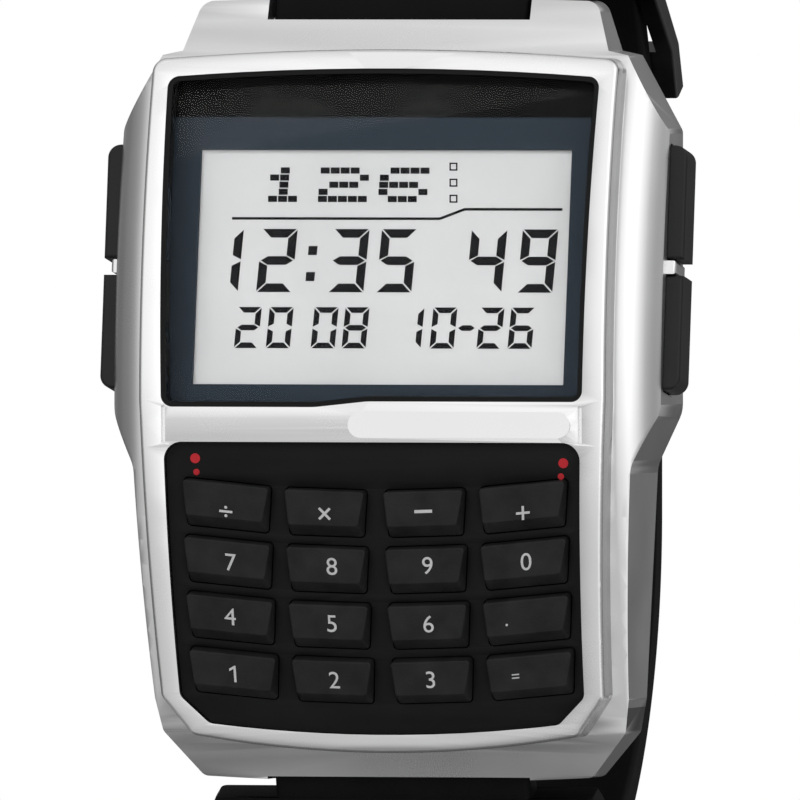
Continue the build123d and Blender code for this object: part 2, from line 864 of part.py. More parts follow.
lcd_top = up_display(lcd_opening_top, mask_depth) + lcd_margin
lcd_foot = up_display(lcd_opening_foot, mask_depth) - lcd_margin
lcd_middle = (lcd_top + lcd_foot) / 2
lcd_width = 2 * (lcd_opening_half_width + lcd_margin)
lcd_height = lcd_top - lcd_foot
mask_back = mask_depth + mask_thickness
lcd_back = mask_back + lcd_glass_thickness
light_back = lcd_back + light_panel_thickness
light_foot = lcd_foot + connector_width + 2 * module_light_gap
connector_middle = (front_radius - lcd_back) * math.sin(display_lean) + (
    lcd_foot + connector_width / 2
) * math.cos(display_lean)

with BuildPart() as display_mask:
    add(prism(grown(pocket_face, -module_end_gap), -overrun, case_depth))
    with BuildSketch(Plane.XY.offset(-mask_foot_drop)):
        Rectangle(2 * wide, 4 * case_depth)
    extrude(amount=2 * bezel_corner_height, mode=Mode.INTERSECT)
    with BuildSketch(display_plane(mask_back)):
        Rectangle(2 * wide, 4 * bezel_corner_height)
    extrude(amount=mask_thickness, mode=Mode.INTERSECT)
    with BuildSketch(display_plane(mask_back)):
        with Locations((0, lcd_middle)):
            Rectangle(2 * lcd_opening_half_width, lcd_height - 2 * lcd_margin)
    extrude(amount=mask_thickness, mode=Mode.SUBTRACT)
save(display_mask.part, "display_mask")

with BuildPart() as lcd_panel:
    with BuildSketch(display_plane(lcd_back)):
        with Locations((0, lcd_middle)):
            Rectangle(lcd_width, lcd_height)
    extrude(amount=lcd_glass_thickness)
save(lcd_panel.part, "lcd_panel")

with BuildPart() as light_panel:
    with BuildSketch(display_plane(light_back)):
        with Locations((0, (lcd_top + light_foot) / 2)):
            Rectangle(lcd_width, lcd_top - light_foot)
    extrude(amount=light_panel_thickness)
save(light_panel.part, "light_panel")


def connector_block(room):
    """Strip from the board to the back of the display glass, with room on every side."""
    with BuildPart() as strip:
        with BuildSketch(front_plane(board_depth)):
            with Locations((0, connector_middle)):
                Rectangle(lcd_width - 2 * lcd_margin + 2 * room, connector_width + 2 * room)
        extrude(amount=board_depth)
        split(bisect_by=display_plane(lcd_back), keep=Keep.BOTTOM)
    return strip.part


save(connector_block(0), "lcd_connector")

with BuildSketch() as module_sketch:
    add(grown(pocket_back_face, -module_end_gap))
    Rectangle(module_width, 3 * bezel_corner_height, mode=Mode.INTERSECT)
module_face = module_sketch.sketch

with BuildPart() as module_frame:
    with BuildSketch(front_plane(board_depth)):
        add(module_face)
        with Locations((0, -module_step)):
            Rectangle(2 * wide, 2 * bezel_corner_height, align=(Align.CENTER, Align.MIN), mode=Mode.INTERSECT)
    extrude(amount=board_depth)
    split(bisect_by=display_plane(mask_back), keep=Keep.BOTTOM)
    with BuildPart(mode=Mode.ADD) as key_backing:
        add(prism(module_face, 0, board_depth))
        with BuildSketch(Plane.YZ.offset(-wide)):
            with Locations((bow_centre_y, 0)):
                Circle(front_radius - film_back)
        extrude(amount=2 * wide, mode=Mode.INTERSECT)
    with BuildSketch(display_plane(light_back)):
        with Locations((0, lcd_middle)):
            Rectangle(lcd_width, lcd_height)
    extrude(amount=light_back - mask_back + overrun, mode=Mode.SUBTRACT)
    add(connector_block(module_light_gap), mode=Mode.SUBTRACT)
save(module_frame.part, "module_frame")

# Board and what stands on it

clip_leg = battery_radius + battery_gap

save(prism(module_face, board_depth, board_back), "circuit_board")

with BuildPart() as battery:
    with BuildSketch(front_plane(battery_back)):
        with Locations((0, -battery_drop)):
            Circle(battery_radius)
    extrude(amount=battery_thickness)
    fillet(battery.edges().filter_by(GeomType.CIRCLE), radius=battery_edge_radius)
save(battery.part, "battery")

with BuildPart() as battery_clip:
    with BuildSketch(Plane.XY.offset(-battery_drop - clip_width / 2)):
        with BuildLine():
            Polyline(
                (0, y_at(battery_back)),
                (clip_leg, y_at(battery_back)),
                (clip_leg, y_at(board_back)),
                (clip_leg + clip_foot, y_at(board_back)),
                (clip_leg + clip_foot, y_at(board_back + clip_thickness)),
                (clip_leg + clip_thickness, y_at(board_back + clip_thickness)),
                (clip_leg + clip_thickness, y_at(clip_back)),
                (0, y_at(clip_back)),
                close=True,
            )
        make_face()
        mirror(about=Plane.YZ)
    extrude(amount=clip_width)
save(battery_clip.part, "battery_clip")

with BuildPart() as processor_chip:
    with BuildSketch(front_plane(board_back + chip_height)):
        with Locations((chip_offset, chip_height_on_board)):
            Rectangle(chip_size, chip_size)
    extrude(amount=chip_height)
save(processor_chip.part, "processor_chip")

with BuildPart() as quartz_crystal:
    with BuildSketch(Plane.XY.offset(crystal_height_on_board)):
        with Locations((crystal_offset, y_at(board_back + crystal_radius))):
            Circle(crystal_radius)
    extrude(amount=crystal_length)
save(quartz_crystal.part, "quartz_crystal")

with BuildPart() as buzzer:
    with BuildSketch(front_plane(back_front_depth)):
        with Locations((-buzzer_offset, buzzer_height)):
            Circle(buzzer_radius)
    extrude(amount=buzzer_thickness)
save(buzzer.part, "buzzer")

buzzer_seat = Plane(origin=(-buzzer_offset, y_at(board_back), buzzer_height), z_dir=(0, 1, 0))
buzzer_spring_length = back_front_depth - buzzer_thickness - board_back
buzzer_spring = coil(
    buzzer_seat, buzzer_spring_radius, buzzer_spring_wire, buzzer_spring_length, buzzer_spring_turns
)
save(buzzer_spring, "buzzer_spring")

# Side buttons: cap, stem and return spring on the right, and their images on the left


def both_sides(part, name):
    """Write a right-hand piece and its left-hand image."""
    image = part.mirror(Plane.YZ)
    save(part, name + "_right")
    save(image, name + "_left")


button_axis = Axis(button_seat.origin, button_seat.z_dir)
stem_inner_x = pocket_wall_x - stem_head_gap - stem_head_length
for name, centre in button_centres.items():
    along = centre[0]
    with BuildPart() as button:
        with BuildSketch(button_seat.offset(-(button_front + button_height))) as cap_shape:
            with Locations(((cap_inner_x + cap_outer_x) / 2, along)):
                Rectangle(cap_outer_x - cap_inner_x, button_length)
            outer_corners = cap_shape.vertices().filter_by(lambda v: v.X > pod_half_width)
            far_corner = outer_corners.sort_by(lambda v: abs(v.Y))[-1]
            fillet(far_corner, radius=button_end_radius)
        extrude(amount=button_height)
        cap_faces = button.faces().sort_by(button_axis)
        fillet(cap_faces[0].edges() + cap_faces[-1].edges(), radius=button_edge_radius)
        with BuildSketch(side_plane(cap_inner_x)):
            with Locations(centre):
                Circle(stem_radius)
        extrude(amount=stem_in_cap, mode=Mode.SUBTRACT)
    both_sides(button.part, "button_" + name)

    with BuildPart() as stem:
        with BuildSketch(side_plane(stem_inner_x)):
            with Locations(centre):
                Circle(stem_radius)
        extrude(amount=cap_inner_x + stem_in_cap - stem_inner_x)
        with BuildSketch(side_plane(stem_inner_x)):
            with Locations(centre):
                Circle(stem_head_radius)
        extrude(amount=stem_head_length)
    both_sides(stem.part, "stem_" + name)

    spring_foot = side_plane(spring_seat_x).from_local_coords((along, button_middle, 0))
    spring_length = cap_inner_x - spring_seat_x
    spring = coil(
        Plane(origin=spring_foot, z_dir=(1, 0, 0)),
        spring_coil_radius,
        spring_wire_radius,
        spring_length,
        spring_turns,
    )
    both_sides(spring, "button_spring_" + name)

with BuildPart() as button_seals:
    for along, out in button_centres.values():
        ring_middle = side_plane(o_ring_seat_x + seal_bore_depth / 2).from_local_coords((along, out, 0))
        with Locations(Plane(origin=ring_middle, z_dir=(1, 0, 0))):
            Torus(stem_radius + running_gap + o_ring_section, o_ring_section)
    mirror(about=Plane.YZ)
save(button_seals.part, "button_seals")

# Spring bars

for name, height in (("upper", upper_bar_height), ("lower", -lower_bar_drop)):
    with BuildPart() as spring_bar:
        add(rod(bar_tube_radius, strap_tongue_half_width + strap_side_gap / 2, (y_at(bar_depth), height)))
        add(rod(bar_pin_radius, bar_reach, (y_at(bar_depth), height)))
    save(spring_bar.part, "spring_bar_" + name)

# Strap loop. Side views are drawn in Y and Z.

bar_y = y_at(bar_depth)
loop_y = bar_y + math.sqrt(near_radius**2 - near_set**2)
near_sweep = 90 - math.degrees(math.asin(near_set / near_radius))
upper_near = (loop_y, upper_bar_height - near_set)
lower_near = (loop_y, near_set - lower_bar_drop)
upper_far = (loop_y, upper_near[1] + near_radius - far_radius)
lower_far = (loop_y, lower_near[1] - near_radius + far_radius)
outer_radius = far_radius + layer_rise
half_strap = strap_thickness / 2
buckle_turn = math.radians(buckle_angle)
band_reach = 3 * far_radius


def around(centre, radius, angle):
    """Point at an angle on a circle of the side view."""
    turn = math.radians(angle)
    return (centre[0] + radius * math.cos(turn), centre[1] + radius * math.sin(turn))


def at_buckle(out, along):
    """Point beside the buckle: out from the loop's centre, and along the band."""
    return (
        upper_far[0] + out * math.cos(buckle_turn) - along * math.sin(buckle_turn),
        upper_far[1] + out * math.sin(buckle_turn) + along * math.cos(buckle_turn),
    )


pin_turn = math.radians(pin_angle) - buckle_turn
pin_out = far_radius * math.cos(pin_turn)
pin_along = far_radius * math.sin(pin_turn)
pin_point = at_buckle(pin_out, pin_along)

with BuildSketch() as strap_plan:
    Polygon(
        (strap_half_width, y_at(-overrun)),
        (strap_half_width, y_at(strap_taper_from)),
        (strap_band_half_width, y_at(strap_taper_to)),
        (strap_band_half_width, loop_y + band_reach),
        (-strap_band_half_width, loop_y + band_reach),
        (-strap_band_half_width, y_at(strap_taper_to)),
        (-strap_half_width, y_at(strap_taper_from)),
        (-strap_half_width, y_at(-overrun)),
        align=None,
    )


def strap_band(side_face, end_height):
    """Band with tapered sides, cut to a tongue between the end of the case and its bar."""
    with BuildPart() as band:
        add(profile_block(side_face, strap_half_width))
        with BuildSketch(Plane.XY.offset(-band_reach)):
            add(strap_plan.sketch)
        extrude(amount=2 * band_reach, mode=Mode.INTERSECT)
        with BuildSketch(Plane.XY.offset(end_height)):
            with Locations((0, y_at(0))):
                Rectangle(2 * wide, strap_taper_from, align=(Align.CENTER, Align.MIN))
                Rectangle(
                    2 * strap_tongue_half_width,
                    strap_taper_from,
                    align=(Align.CENTER, Align.MIN),
                    mode=Mode.SUBTRACT,
                )
        extrude(amount=-math.copysign(near_radius, end_height), mode=Mode.SUBTRACT)
    return band.part


def sunk_field(centre, end_height):
    """Shallow cut in the band's outer face, beside the case."""
    face_radius = near_radius + half_strap
    rise = math.asin((abs(end_height - centre[1])) / face_radius)
    start = math.degrees(rise + field_border / face_radius)
    sweep = math.degrees(field_length / face_radius)
    side = math.copysign(1, end_height)
    with BuildSketch() as field:
        with BuildLine():
            CenterArc(centre, face_radius, 180 - side * start, -side * sweep)
        trace(line_width=2 * field_sink)
    return profile_block(field.sketch, strap_half_width - field_border)


upper_end = crown_tip_height + crown_tip_bow + strap_end_gap
lower_end = -(body_foot_drop + strap_end_gap)
prong_slot = prong_width / 2 + free_gap

with BuildSketch() as upper_side:
    with BuildLine():
        CenterArc(upper_near, near_radius, 90 + near_sweep, -near_sweep)
        CenterArc(upper_far, far_radius, 90, pin_angle - 90)
    trace(line_width=strap_thickness)
    with Locations((bar_y, upper_bar_height)):
        Circle(eye_radius)
    with Locations(pin_point):
        Circle(pin_eye_radius)

with BuildPart() as strap_upper:
    add(strap_band(upper_side.sketch, upper_end))
    add(sunk_field(upper_near, upper_end), mode=Mode.SUBTRACT)
    add(rod(bar_tube_radius, wide, (bar_y, upper_bar_height)), mode=Mode.SUBTRACT)
    add(rod(pin_radius, wide, pin_point), mode=Mode.SUBTRACT)
    add(rod(prong_eye_radius + free_gap, prong_slot, pin_point), mode=Mode.SUBTRACT)
save(strap_upper.part, "strap_upper")

crossing_out = far_radius - crossing_radius
crossing_run = math.sqrt((outer_radius - crossing_radius) ** 2 - crossing_out**2)
crossing_sweep = math.degrees(math.atan2(crossing_run, crossing_out))
outer_from = buckle_angle + crossing_sweep

with BuildSketch() as lower_side:
    with BuildLine() as lower_path:
        CenterArc(lower_near, near_radius, 270 - near_sweep, near_sweep)
        CenterArc(lower_far, far_radius, 270, 90)
        Line(around(lower_far, far_radius, 0), around(upper_far, far_radius, 0))
        CenterArc(upper_far, far_radius, 0, buckle_angle)
        Line(at_buckle(far_radius, 0), at_buckle(far_radius, crossing_run))
        CenterArc(at_buckle(crossing_out, crossing_run), crossing_radius, buckle_angle, crossing_sweep)
        CenterArc(upper_far, outer_radius, outer_from, tail_angle - outer_from)
    trace(line_width=strap_thickness)
    with Locations((bar_y, -lower_bar_drop)):
        Circle(eye_radius)

buckle_run = (
    near_radius * math.radians(near_sweep)
    + far_radius * math.pi / 2
    + upper_far[1] - lower_far[1]
    + far_radius * buckle_turn
)
first_hole = buckle_run + pin_along - hole_lead - holes_below_buckle * hole_pitch
hole_count = holes_below_buckle + 1 + tail_holes
tail_y = around(upper_far, outer_radius, tail_angle)[0]

with BuildPart() as strap_lower:
    add(strap_band(lower_side.sketch, lower_end))
    add(sunk_field(lower_near, lower_end), mode=Mode.SUBTRACT)
    add(rod(bar_tube_radius, wide, (bar_y, -lower_bar_drop)), mode=Mode.SUBTRACT)
    for place in range(hole_count):
        run = first_hole + place * hole_pitch
        point = lower_path.wire().position_at(run, position_mode=PositionMode.LENGTH)
        tangent = lower_path.wire().tangent_at(run, position_mode=PositionMode.LENGTH)
        hole_plane = Plane(
            origin=(0, point.X, point.Y), x_dir=(0, tangent.X, tangent.Y), z_dir=(0, tangent.Y, -tangent.X)
        )
        with BuildSketch(hole_plane):
            SlotOverall(hole_length, 2 * hole_half_width)
        extrude(amount=strap_thickness, both=True, mode=Mode.SUBTRACT)
    with BuildSketch(Plane.XY.offset(upper_far[1])):
        with Locations((0, tail_y - overrun)):
            Rectangle(2 * wide, tail_radius + overrun, align=(Align.CENTER, Align.MIN))
        with Locations((0, tail_y)):
            RectangleRounded(
                2 * strap_band_half_width,
                far_radius,
                tail_radius,
                align=(Align.CENTER, Align.MIN),
                mode=Mode.SUBTRACT,
            )
    extrude(amount=2 * far_radius, mode=Mode.SUBTRACT)
save(strap_lower.part, "strap_lower")

# Buckle: frame, pin and prong

buckle_inner_half_width = strap_band_half_width + buckle_gap
outer_face = far_radius + half_strap
bar_out = outer_face + free_gap + buckle_bar_height / 2
bar_along = pin_along - buckle_bar_reach
prong_half = prong_thickness / 2
knee_out = outer_face + prong_knee_gap + prong_half
knee_along = pin_along - prong_lean
tip_out = bar_out + buckle_bar_height / 2 + prong_rest_gap + prong_half
tip_along = bar_along - prong_tip_reach


def buckle_profile(points):
    """Side outline from places beside the buckle."""
    with BuildSketch() as face:
        Polygon(*[at_buckle(out, along) for out, along in points], align=None)
    return face.sketch


bar_front = bar_along - buckle_bar_length / 2
bar_rear = bar_along + buckle_bar_length / 2
bar_low = bar_out - buckle_bar_height / 2
bar_high = bar_out + buckle_bar_height / 2
bar_section = buckle_profile(
    [(bar_low, bar_front), (bar_high, bar_front), (bar_high, bar_rear), (bar_low, bar_rear)]
)
arm_lean = math.atan2(pin_along - bar_rear, bar_out - pin_out)
arm_side = buckle_arm_height / 2
with BuildSketch() as arm_section:
    add(bar_section)
    add(
        buckle_profile(
            [
                (pin_out - arm_side * math.sin(arm_lean), pin_along - arm_side * math.cos(arm_lean)),
                (pin_out + arm_side * math.sin(arm_lean), pin_along + arm_side * math.cos(arm_lean)),
                (bar_high, bar_rear),
                (bar_low, bar_rear),
            ]
        )
    )
    with Locations(pin_point):
        Circle(prong_eye_radius)

with BuildPart() as buckle_frame:
    add(profile_block(arm_section.sketch, buckle_half_width))
    add(profile_block(bar_section, buckle_half_width))
    with BuildSketch(Plane.YZ.offset(-buckle_inner_half_width)):
        add(arm_section.sketch)
        add(bar_section, mode=Mode.SUBTRACT)
    extrude(amount=2 * buckle_inner_half_width, mode=Mode.SUBTRACT)
    add(rod(pin_radius + running_gap, wide, pin_point), mode=Mode.SUBTRACT)
    bar_ends = buckle_frame.edges().filter_by(Axis.X, reverse=True).filter_by(
        lambda e: abs(abs(e.center().X) - buckle_half_width) < running_gap and e.length > pin_radius
    )
    fillet(bar_ends.filter_by(GeomType.LINE), radius=buckle_edge_radius)
save(buckle_frame.part, "buckle_frame")

save(rod(pin_radius, buckle_half_width, pin_point), "buckle_pin")

prong_bends = [
    at_buckle(knee_out, knee_along),
    at_buckle(tip_out, bar_rear + prong_half),
    at_buckle(tip_out, tip_along),
]
with BuildSketch() as prong_side:
    with BuildLine():
        Polyline(pin_point, *prong_bends)
    trace(line_width=prong_thickness)
    with Locations(*prong_bends):
        Circle(prong_half)
    with Locations(pin_point):
        Circle(prong_eye_radius)
        Circle(pin_radius + running_gap, mode=Mode.SUBTRACT)
save(profile_block(prong_side.sketch, prong_width / 2), "buckle_prong")

# Keeper ring round both layers of the strap

keeper_low = far_radius - half_strap - keeper_gap
keeper_high = outer_radius + half_strap + keeper_gap
keeper_turn = math.radians(keeper_angle)
keeper_middle = around(upper_far, (keeper_low + keeper_high) / 2, keeper_angle)
keeper_plane = Plane(
    origin=(0, *keeper_middle),
    x_dir=(1, 0, 0),
    z_dir=(0, -math.sin(keeper_turn), math.cos(keeper_turn)),
)
keeper_inner_width = 2 * (strap_band_half_width + keeper_gap)
keeper_inner_height = keeper_high - keeper_low
with BuildPart() as strap_keeper:
    with BuildSketch(keeper_plane):
        RectangleRounded(
            keeper_inner_width + 2 * keeper_wall,
            keeper_inner_height + 2 * keeper_wall,
            keeper_corner_radius + keeper_wall / 2,
        )
        Rectangle(keeper_inner_width, keeper_inner_height, mode=Mode.SUBTRACT)
    extrude(amount=keeper_length / 2, both=True)
save(strap_keeper.part, "strap_keeper")
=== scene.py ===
import json
import math

import bmesh
import bpy
from mathutils import Matrix, Vector


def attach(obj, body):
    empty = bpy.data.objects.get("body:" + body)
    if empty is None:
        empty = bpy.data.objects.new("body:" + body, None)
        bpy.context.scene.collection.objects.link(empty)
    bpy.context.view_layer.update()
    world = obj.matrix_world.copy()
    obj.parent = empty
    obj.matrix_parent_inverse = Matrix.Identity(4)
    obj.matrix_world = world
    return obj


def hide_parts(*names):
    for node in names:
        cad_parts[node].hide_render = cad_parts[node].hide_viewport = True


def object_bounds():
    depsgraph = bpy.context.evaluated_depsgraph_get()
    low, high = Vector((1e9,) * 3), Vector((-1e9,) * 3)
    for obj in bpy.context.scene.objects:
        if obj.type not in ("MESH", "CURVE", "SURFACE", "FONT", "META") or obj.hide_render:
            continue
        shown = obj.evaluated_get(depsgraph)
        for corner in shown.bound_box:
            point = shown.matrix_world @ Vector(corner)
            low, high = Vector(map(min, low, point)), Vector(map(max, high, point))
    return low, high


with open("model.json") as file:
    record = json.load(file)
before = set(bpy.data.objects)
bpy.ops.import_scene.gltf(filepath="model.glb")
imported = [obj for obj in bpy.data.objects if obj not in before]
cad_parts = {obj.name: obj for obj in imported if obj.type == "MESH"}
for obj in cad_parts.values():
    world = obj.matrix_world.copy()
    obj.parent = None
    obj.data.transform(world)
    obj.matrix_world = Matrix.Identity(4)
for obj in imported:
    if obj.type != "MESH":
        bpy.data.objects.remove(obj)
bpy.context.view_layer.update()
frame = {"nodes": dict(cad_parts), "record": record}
nodes = frame["nodes"]
MM = 0.001

# Sizes shared with the model, in millimetres
CASE_DEPTH = 12.5
FRONT_RADIUS = 65.0
BOW_CENTRE = FRONT_RADIUS - CASE_DEPTH
VIEW_TURN = math.radians(13.0)
VIEW_RISE = math.radians(0.8)
FIELD = 54.8
VIEW_DISTANCE = 2400.0
VIEW_SHIFT = 1.986
PIXELS = 14.6
AXIS_PIXEL, MIDDLE_PIXEL = 371, 400

# Keys
KEY_PITCH_ACROSS = 6.95
KEY_PITCH_DOWN = 3.97
KEY_FIRST_ROW = 7.45
KEY_SMILE_RADIUS = 105.0
KEY_OFFSET = 0.15
KEY_RISE = 0.25
PANEL_DEPTH = 0.55

# Painted shade on the upright walls round the bezel: how far they turn sideways, and where they
# stand
WALL_FACING = (0.9, 0.97)
WALL_REACH = (15.2, 15.4)
WALL_LIMIT = 16.6
WALL_SHADE_COLOUR = (0.26, 0.26, 0.262)


# Materials

def tree_of(name):
    """New material with a Principled shader; gives material, nodes, links and shader."""
    material = bpy.data.materials.new(name)
    material.use_nodes = True
    tree = material.node_tree
    return material, tree.nodes, tree.links, tree.nodes["Principled BSDF"]


def place(tree_nodes, links, scale=(1, 1, 1)):
    """Object coordinates in millimetres, stretched by a scale."""
    coords = tree_nodes.new("ShaderNodeTexCoord")
    mapping = tree_nodes.new("ShaderNodeMapping")
    mapping.inputs["Scale"].default_value = [1000 * s for s in scale]
    links.new(coords.outputs["Object"], mapping.inputs["Vector"])
    return mapping.outputs["Vector"]


def noise(tree_nodes, links, vector, scale, detail, rough=0.55):
    """Noise value from 0 to 1."""
    texture = tree_nodes.new("ShaderNodeTexNoise")
    texture.inputs["Scale"].default_value = scale
    texture.inputs["Detail"].default_value = detail
    texture.inputs["Roughness"].default_value = rough
    links.new(vector, texture.inputs["Vector"])
    return texture.outputs["Fac"]


def span(tree_nodes, links, value, low, high, to_low, to_high):
    """Value mapped from one range to another, held at its ends."""
    ranged = tree_nodes.new("ShaderNodeMapRange")
    limits = (("From Min", low), ("From Max", high), ("To Min", to_low), ("To Max", to_high))
    for name, number in limits:
        ranged.inputs[name].default_value = number
    links.new(value, ranged.inputs["Value"])
    return ranged.outputs["Result"]


def maths(tree_nodes, links, operation, *values):
    """Result of a maths node, whose values are sockets or numbers."""
    made = tree_nodes.new("ShaderNodeMath")
    made.operation = operation
    for value, socket in zip(values, made.inputs):
        if isinstance(value, (int, float)):
            socket.default_value = value
        else:
            links.new(value, socket)
    return made.outputs[0]


def tint(tree_nodes, links, factor, dark, light):
    """Colour between two, by a factor."""
    ramp = tree_nodes.new("ShaderNodeValToRGB")
    ramp.color_ramp.elements[0].color = (*dark, 1)
    ramp.color_ramp.elements[1].color = (*light, 1)
    links.new(factor, ramp.inputs["Fac"])
    return ramp.outputs["Color"]


def bump(tree_nodes, links, shader, height, distance):
    """Fine relief in a shader's normal, with its height in millimetres."""
    raised = tree_nodes.new("ShaderNodeBump")
    raised.inputs["Distance"].default_value = distance * MM
    links.new(height, raised.inputs["Height"])
    links.new(raised.outputs["Normal"], shader.inputs["Normal"])


def grained(
    name, dark, light, rough, grain=9.0, depth=0.02, patch=0.35, metal=0.0, specular=0.5,
    scale=(1, 1, 1),
):
    """Surface with a fine grain, slow colour changes and roughness that varies with both."""
    material, made, links, shader = tree_of(name)
    vector = place(made, links, scale)
    fine = noise(made, links, vector, grain, 2.0)
    slow = noise(made, links, vector, patch, 4.0)
    patches = span(made, links, slow, 0.3, 0.7, 0.0, 0.6)
    mixed = maths(made, links, "MULTIPLY_ADD", fine, 0.4, patches)
    links.new(tint(made, links, mixed, dark, light), shader.inputs["Base Color"])
    uneven = span(made, links, mixed, 0.2, 0.8, rough - 0.05, rough + 0.07)
    links.new(uneven, shader.inputs["Roughness"])
    shader.inputs["Metallic"].default_value = metal
    shader.inputs["Specular IOR Level"].default_value = specular
    if depth:
        bump(made, links, shader, fine, depth)
    return material


def painted_wall_shade(material):
    """Paint shade into the colour of the upright walls round the bezel that turn sideways, darker
    than the rest of the metal.
    """
    made, links = material.node_tree.nodes, material.node_tree.links
    shader = made["Principled BSDF"]
    coords = made.new("ShaderNodeTexCoord")

    def sideways(source):
        parts = made.new("ShaderNodeSeparateXYZ")
        links.new(coords.outputs[source], parts.inputs[0])
        return maths(made, links, "ABSOLUTE", parts.outputs["X"])

    across = sideways("Object")
    facing = span(made, links, sideways("Normal"), *WALL_FACING, 0.0, 1.0)
    reached = span(made, links, across, *(edge * MM for edge in WALL_REACH), 0.0, 1.0)
    within = maths(made, links, "LESS_THAN", across, WALL_LIMIT * MM)
    shade_mask = maths(made, links, "MULTIPLY", maths(made, links, "MULTIPLY", facing, reached), within)
    # painted shade: a darker base colour on the sideways walls stands in for their shade
    mix = made.new("ShaderNodeMix")
    mix.data_type = "RGBA"
    mix.inputs["B"].default_value = (*WALL_SHADE_COLOUR, 1)
    links.new(shade_mask, mix.inputs["Factor"])
    links.new(shader.inputs["Base Color"].links[0].from_socket, mix.inputs["A"])
    links.new(mix.outputs["Result"], shader.inputs["Base Color"])


def brushed(name, colour, rough, along=(1, 1, 1), depth=0.006):
    """Metal with fine parallel brush marks; along is small in the direction of the marks."""
    dark = tuple(c * 0.86 for c in colour)
    light = tuple(min(1.0, c * 1.12) for c in colour)
    return grained(name, dark, light, rough, 6.0, depth, 0.2, 1.0, scale=along)


def plain(name, colour, rough, **extra):
    """Grained surface that darkens a little from one colour."""
    return grained(name, tuple(c * 0.85 for c in colour), colour, rough, **extra)


MATERIALS = {
    "bright_steel": grained(
        "bright_steel", (0.86, 0.86, 0.861), (0.90, 0.90, 0.90), 0.26, 18.0, 0.0002, 0.05, 1.0
    ),
    "case_plastic": grained(
        "case_plastic", (0.80, 0.80, 0.802), (0.85, 0.85, 0.85), 0.3, 18.0, 0.0003, 0.05, 1.0
    ),
    "seal_rubber": plain("seal_rubber", (0.006, 0.006, 0.006), 0.5, depth=0.004, specular=0.15),
    "panel_black": grained(
        "panel_black", (0.0065, 0.0065, 0.0066), (0.011, 0.011, 0.0112),
        0.5, 16.0, 0.006, 0.3, specular=0.1
    ),
    "key_plastic": grained(
        "key_plastic", (0.010, 0.010, 0.0102), (0.025, 0.025, 0.0255),
        0.45, 11.0, 0.016, 0.5, specular=0.12
    ),
    "sheet_rubber": plain("sheet_rubber", (0.03, 0.03, 0.03), 0.6),
    "film_plastic": plain("film_plastic", (0.35, 0.28, 0.10), 0.4),
    "light_plastic": plain("light_plastic", (0.55, 0.72, 0.62), 0.5),
    "connector_rubber": plain("connector_rubber", (0.5, 0.5, 0.55), 0.6, scale=(4, 0.2, 0.2)),
    "frame_plastic": plain("frame_plastic", (0.05, 0.05, 0.055), 0.5),
    "board_green": plain("board_green", (0.03, 0.12, 0.06), 0.4),
    "chip_black": plain("chip_black", (0.015, 0.015, 0.015), 0.45),
    "plain_steel": brushed("plain_steel", (0.56, 0.56, 0.565), 0.3, (1, 1, 0.08)),
    "cell_steel": brushed("cell_steel", (0.6, 0.6, 0.6), 0.28, (0.1, 1, 1)),
    "buzzer_brass": brushed("buzzer_brass", (0.6, 0.48, 0.2), 0.3),
    "button_dark": grained(
        "button_dark", (0.010, 0.010, 0.0103), (0.019, 0.019, 0.0195),
        0.36, 9.0, 0.006, 0.3, specular=0.22
    ),
    "strap_resin": grained(
        "strap_resin", (0.0032, 0.0032, 0.0034), (0.007, 0.007, 0.0074),
        0.46, 7.0, 0.014, 0.2, specular=0.05
    ),
    "buckle_dark": brushed("buckle_dark", (0.09, 0.09, 0.094), 0.3, (0.1, 1, 1), 0.004),
}


def window_glass():
    """Clear mineral glass with a trace of unevenness."""
    material, made, links, shader = tree_of("window_glass")
    shader.inputs["Transmission Weight"].default_value = 1.0
    shader.inputs["IOR"].default_value = 1.12
    shader.inputs["Base Color"].default_value = (0.99, 0.995, 1.0, 1)
    slow = noise(made, links, place(made, links), 0.1, 1.0)
    links.new(span(made, links, slow, 0.3, 0.7, 0.0, 0.015), shader.inputs["Roughness"])
    bump(made, links, shader, slow, 0.004)
    return material


def mask_print():
    """Print behind the window: black across the top, blue-grey below."""
    material, made, links, shader = tree_of("mask_print")
    vector = place(made, links)
    parts = made.new("ShaderNodeSeparateXYZ")
    links.new(vector, parts.inputs[0])
    band = span(made, links, parts.outputs["Z"], 19.2, 19.35, 0.0, 1.0)
    grain = noise(made, links, vector, 6.0, 2.0)
    mix = made.new("ShaderNodeMix")
    mix.data_type = "RGBA"
    links.new(band, mix.inputs["Factor"])
    blue = tint(made, links, grain, (0.019, 0.027, 0.036), (0.025, 0.034, 0.046))
    black = tint(made, links, grain, (0.0012, 0.0012, 0.0012), (0.0035, 0.0035, 0.0035))
    links.new(blue, mix.inputs["A"])
    links.new(black, mix.inputs["B"])
    links.new(mix.outputs["Result"], shader.inputs["Base Color"])
    shader.inputs["Roughness"].default_value = 0.4
    shader.inputs["Specular IOR Level"].default_value = 0.02
    bump(made, links, shader, grain, 0.003)
    return material


def lcd_surface():
    """Reflective grey display: a pale rear reflector with a very fine sparkle."""
    material, made, links, shader = tree_of("lcd_surface")
    vector = place(made, links)
    fine = noise(made, links, vector, 14.0, 2.0)
    slow = noise(made, links, vector, 0.09, 1.0)
    patches = span(made, links, slow, 0.3, 0.7, 0.1, 0.65)
    both = maths(made, links, "MULTIPLY_ADD", fine, 0.35, patches)
    grey = tint(made, links, both, (0.50, 0.502, 0.50), (0.60, 0.60, 0.596))
    links.new(grey, shader.inputs["Base Color"])
    shader.inputs["Roughness"].default_value = 0.6
    return material


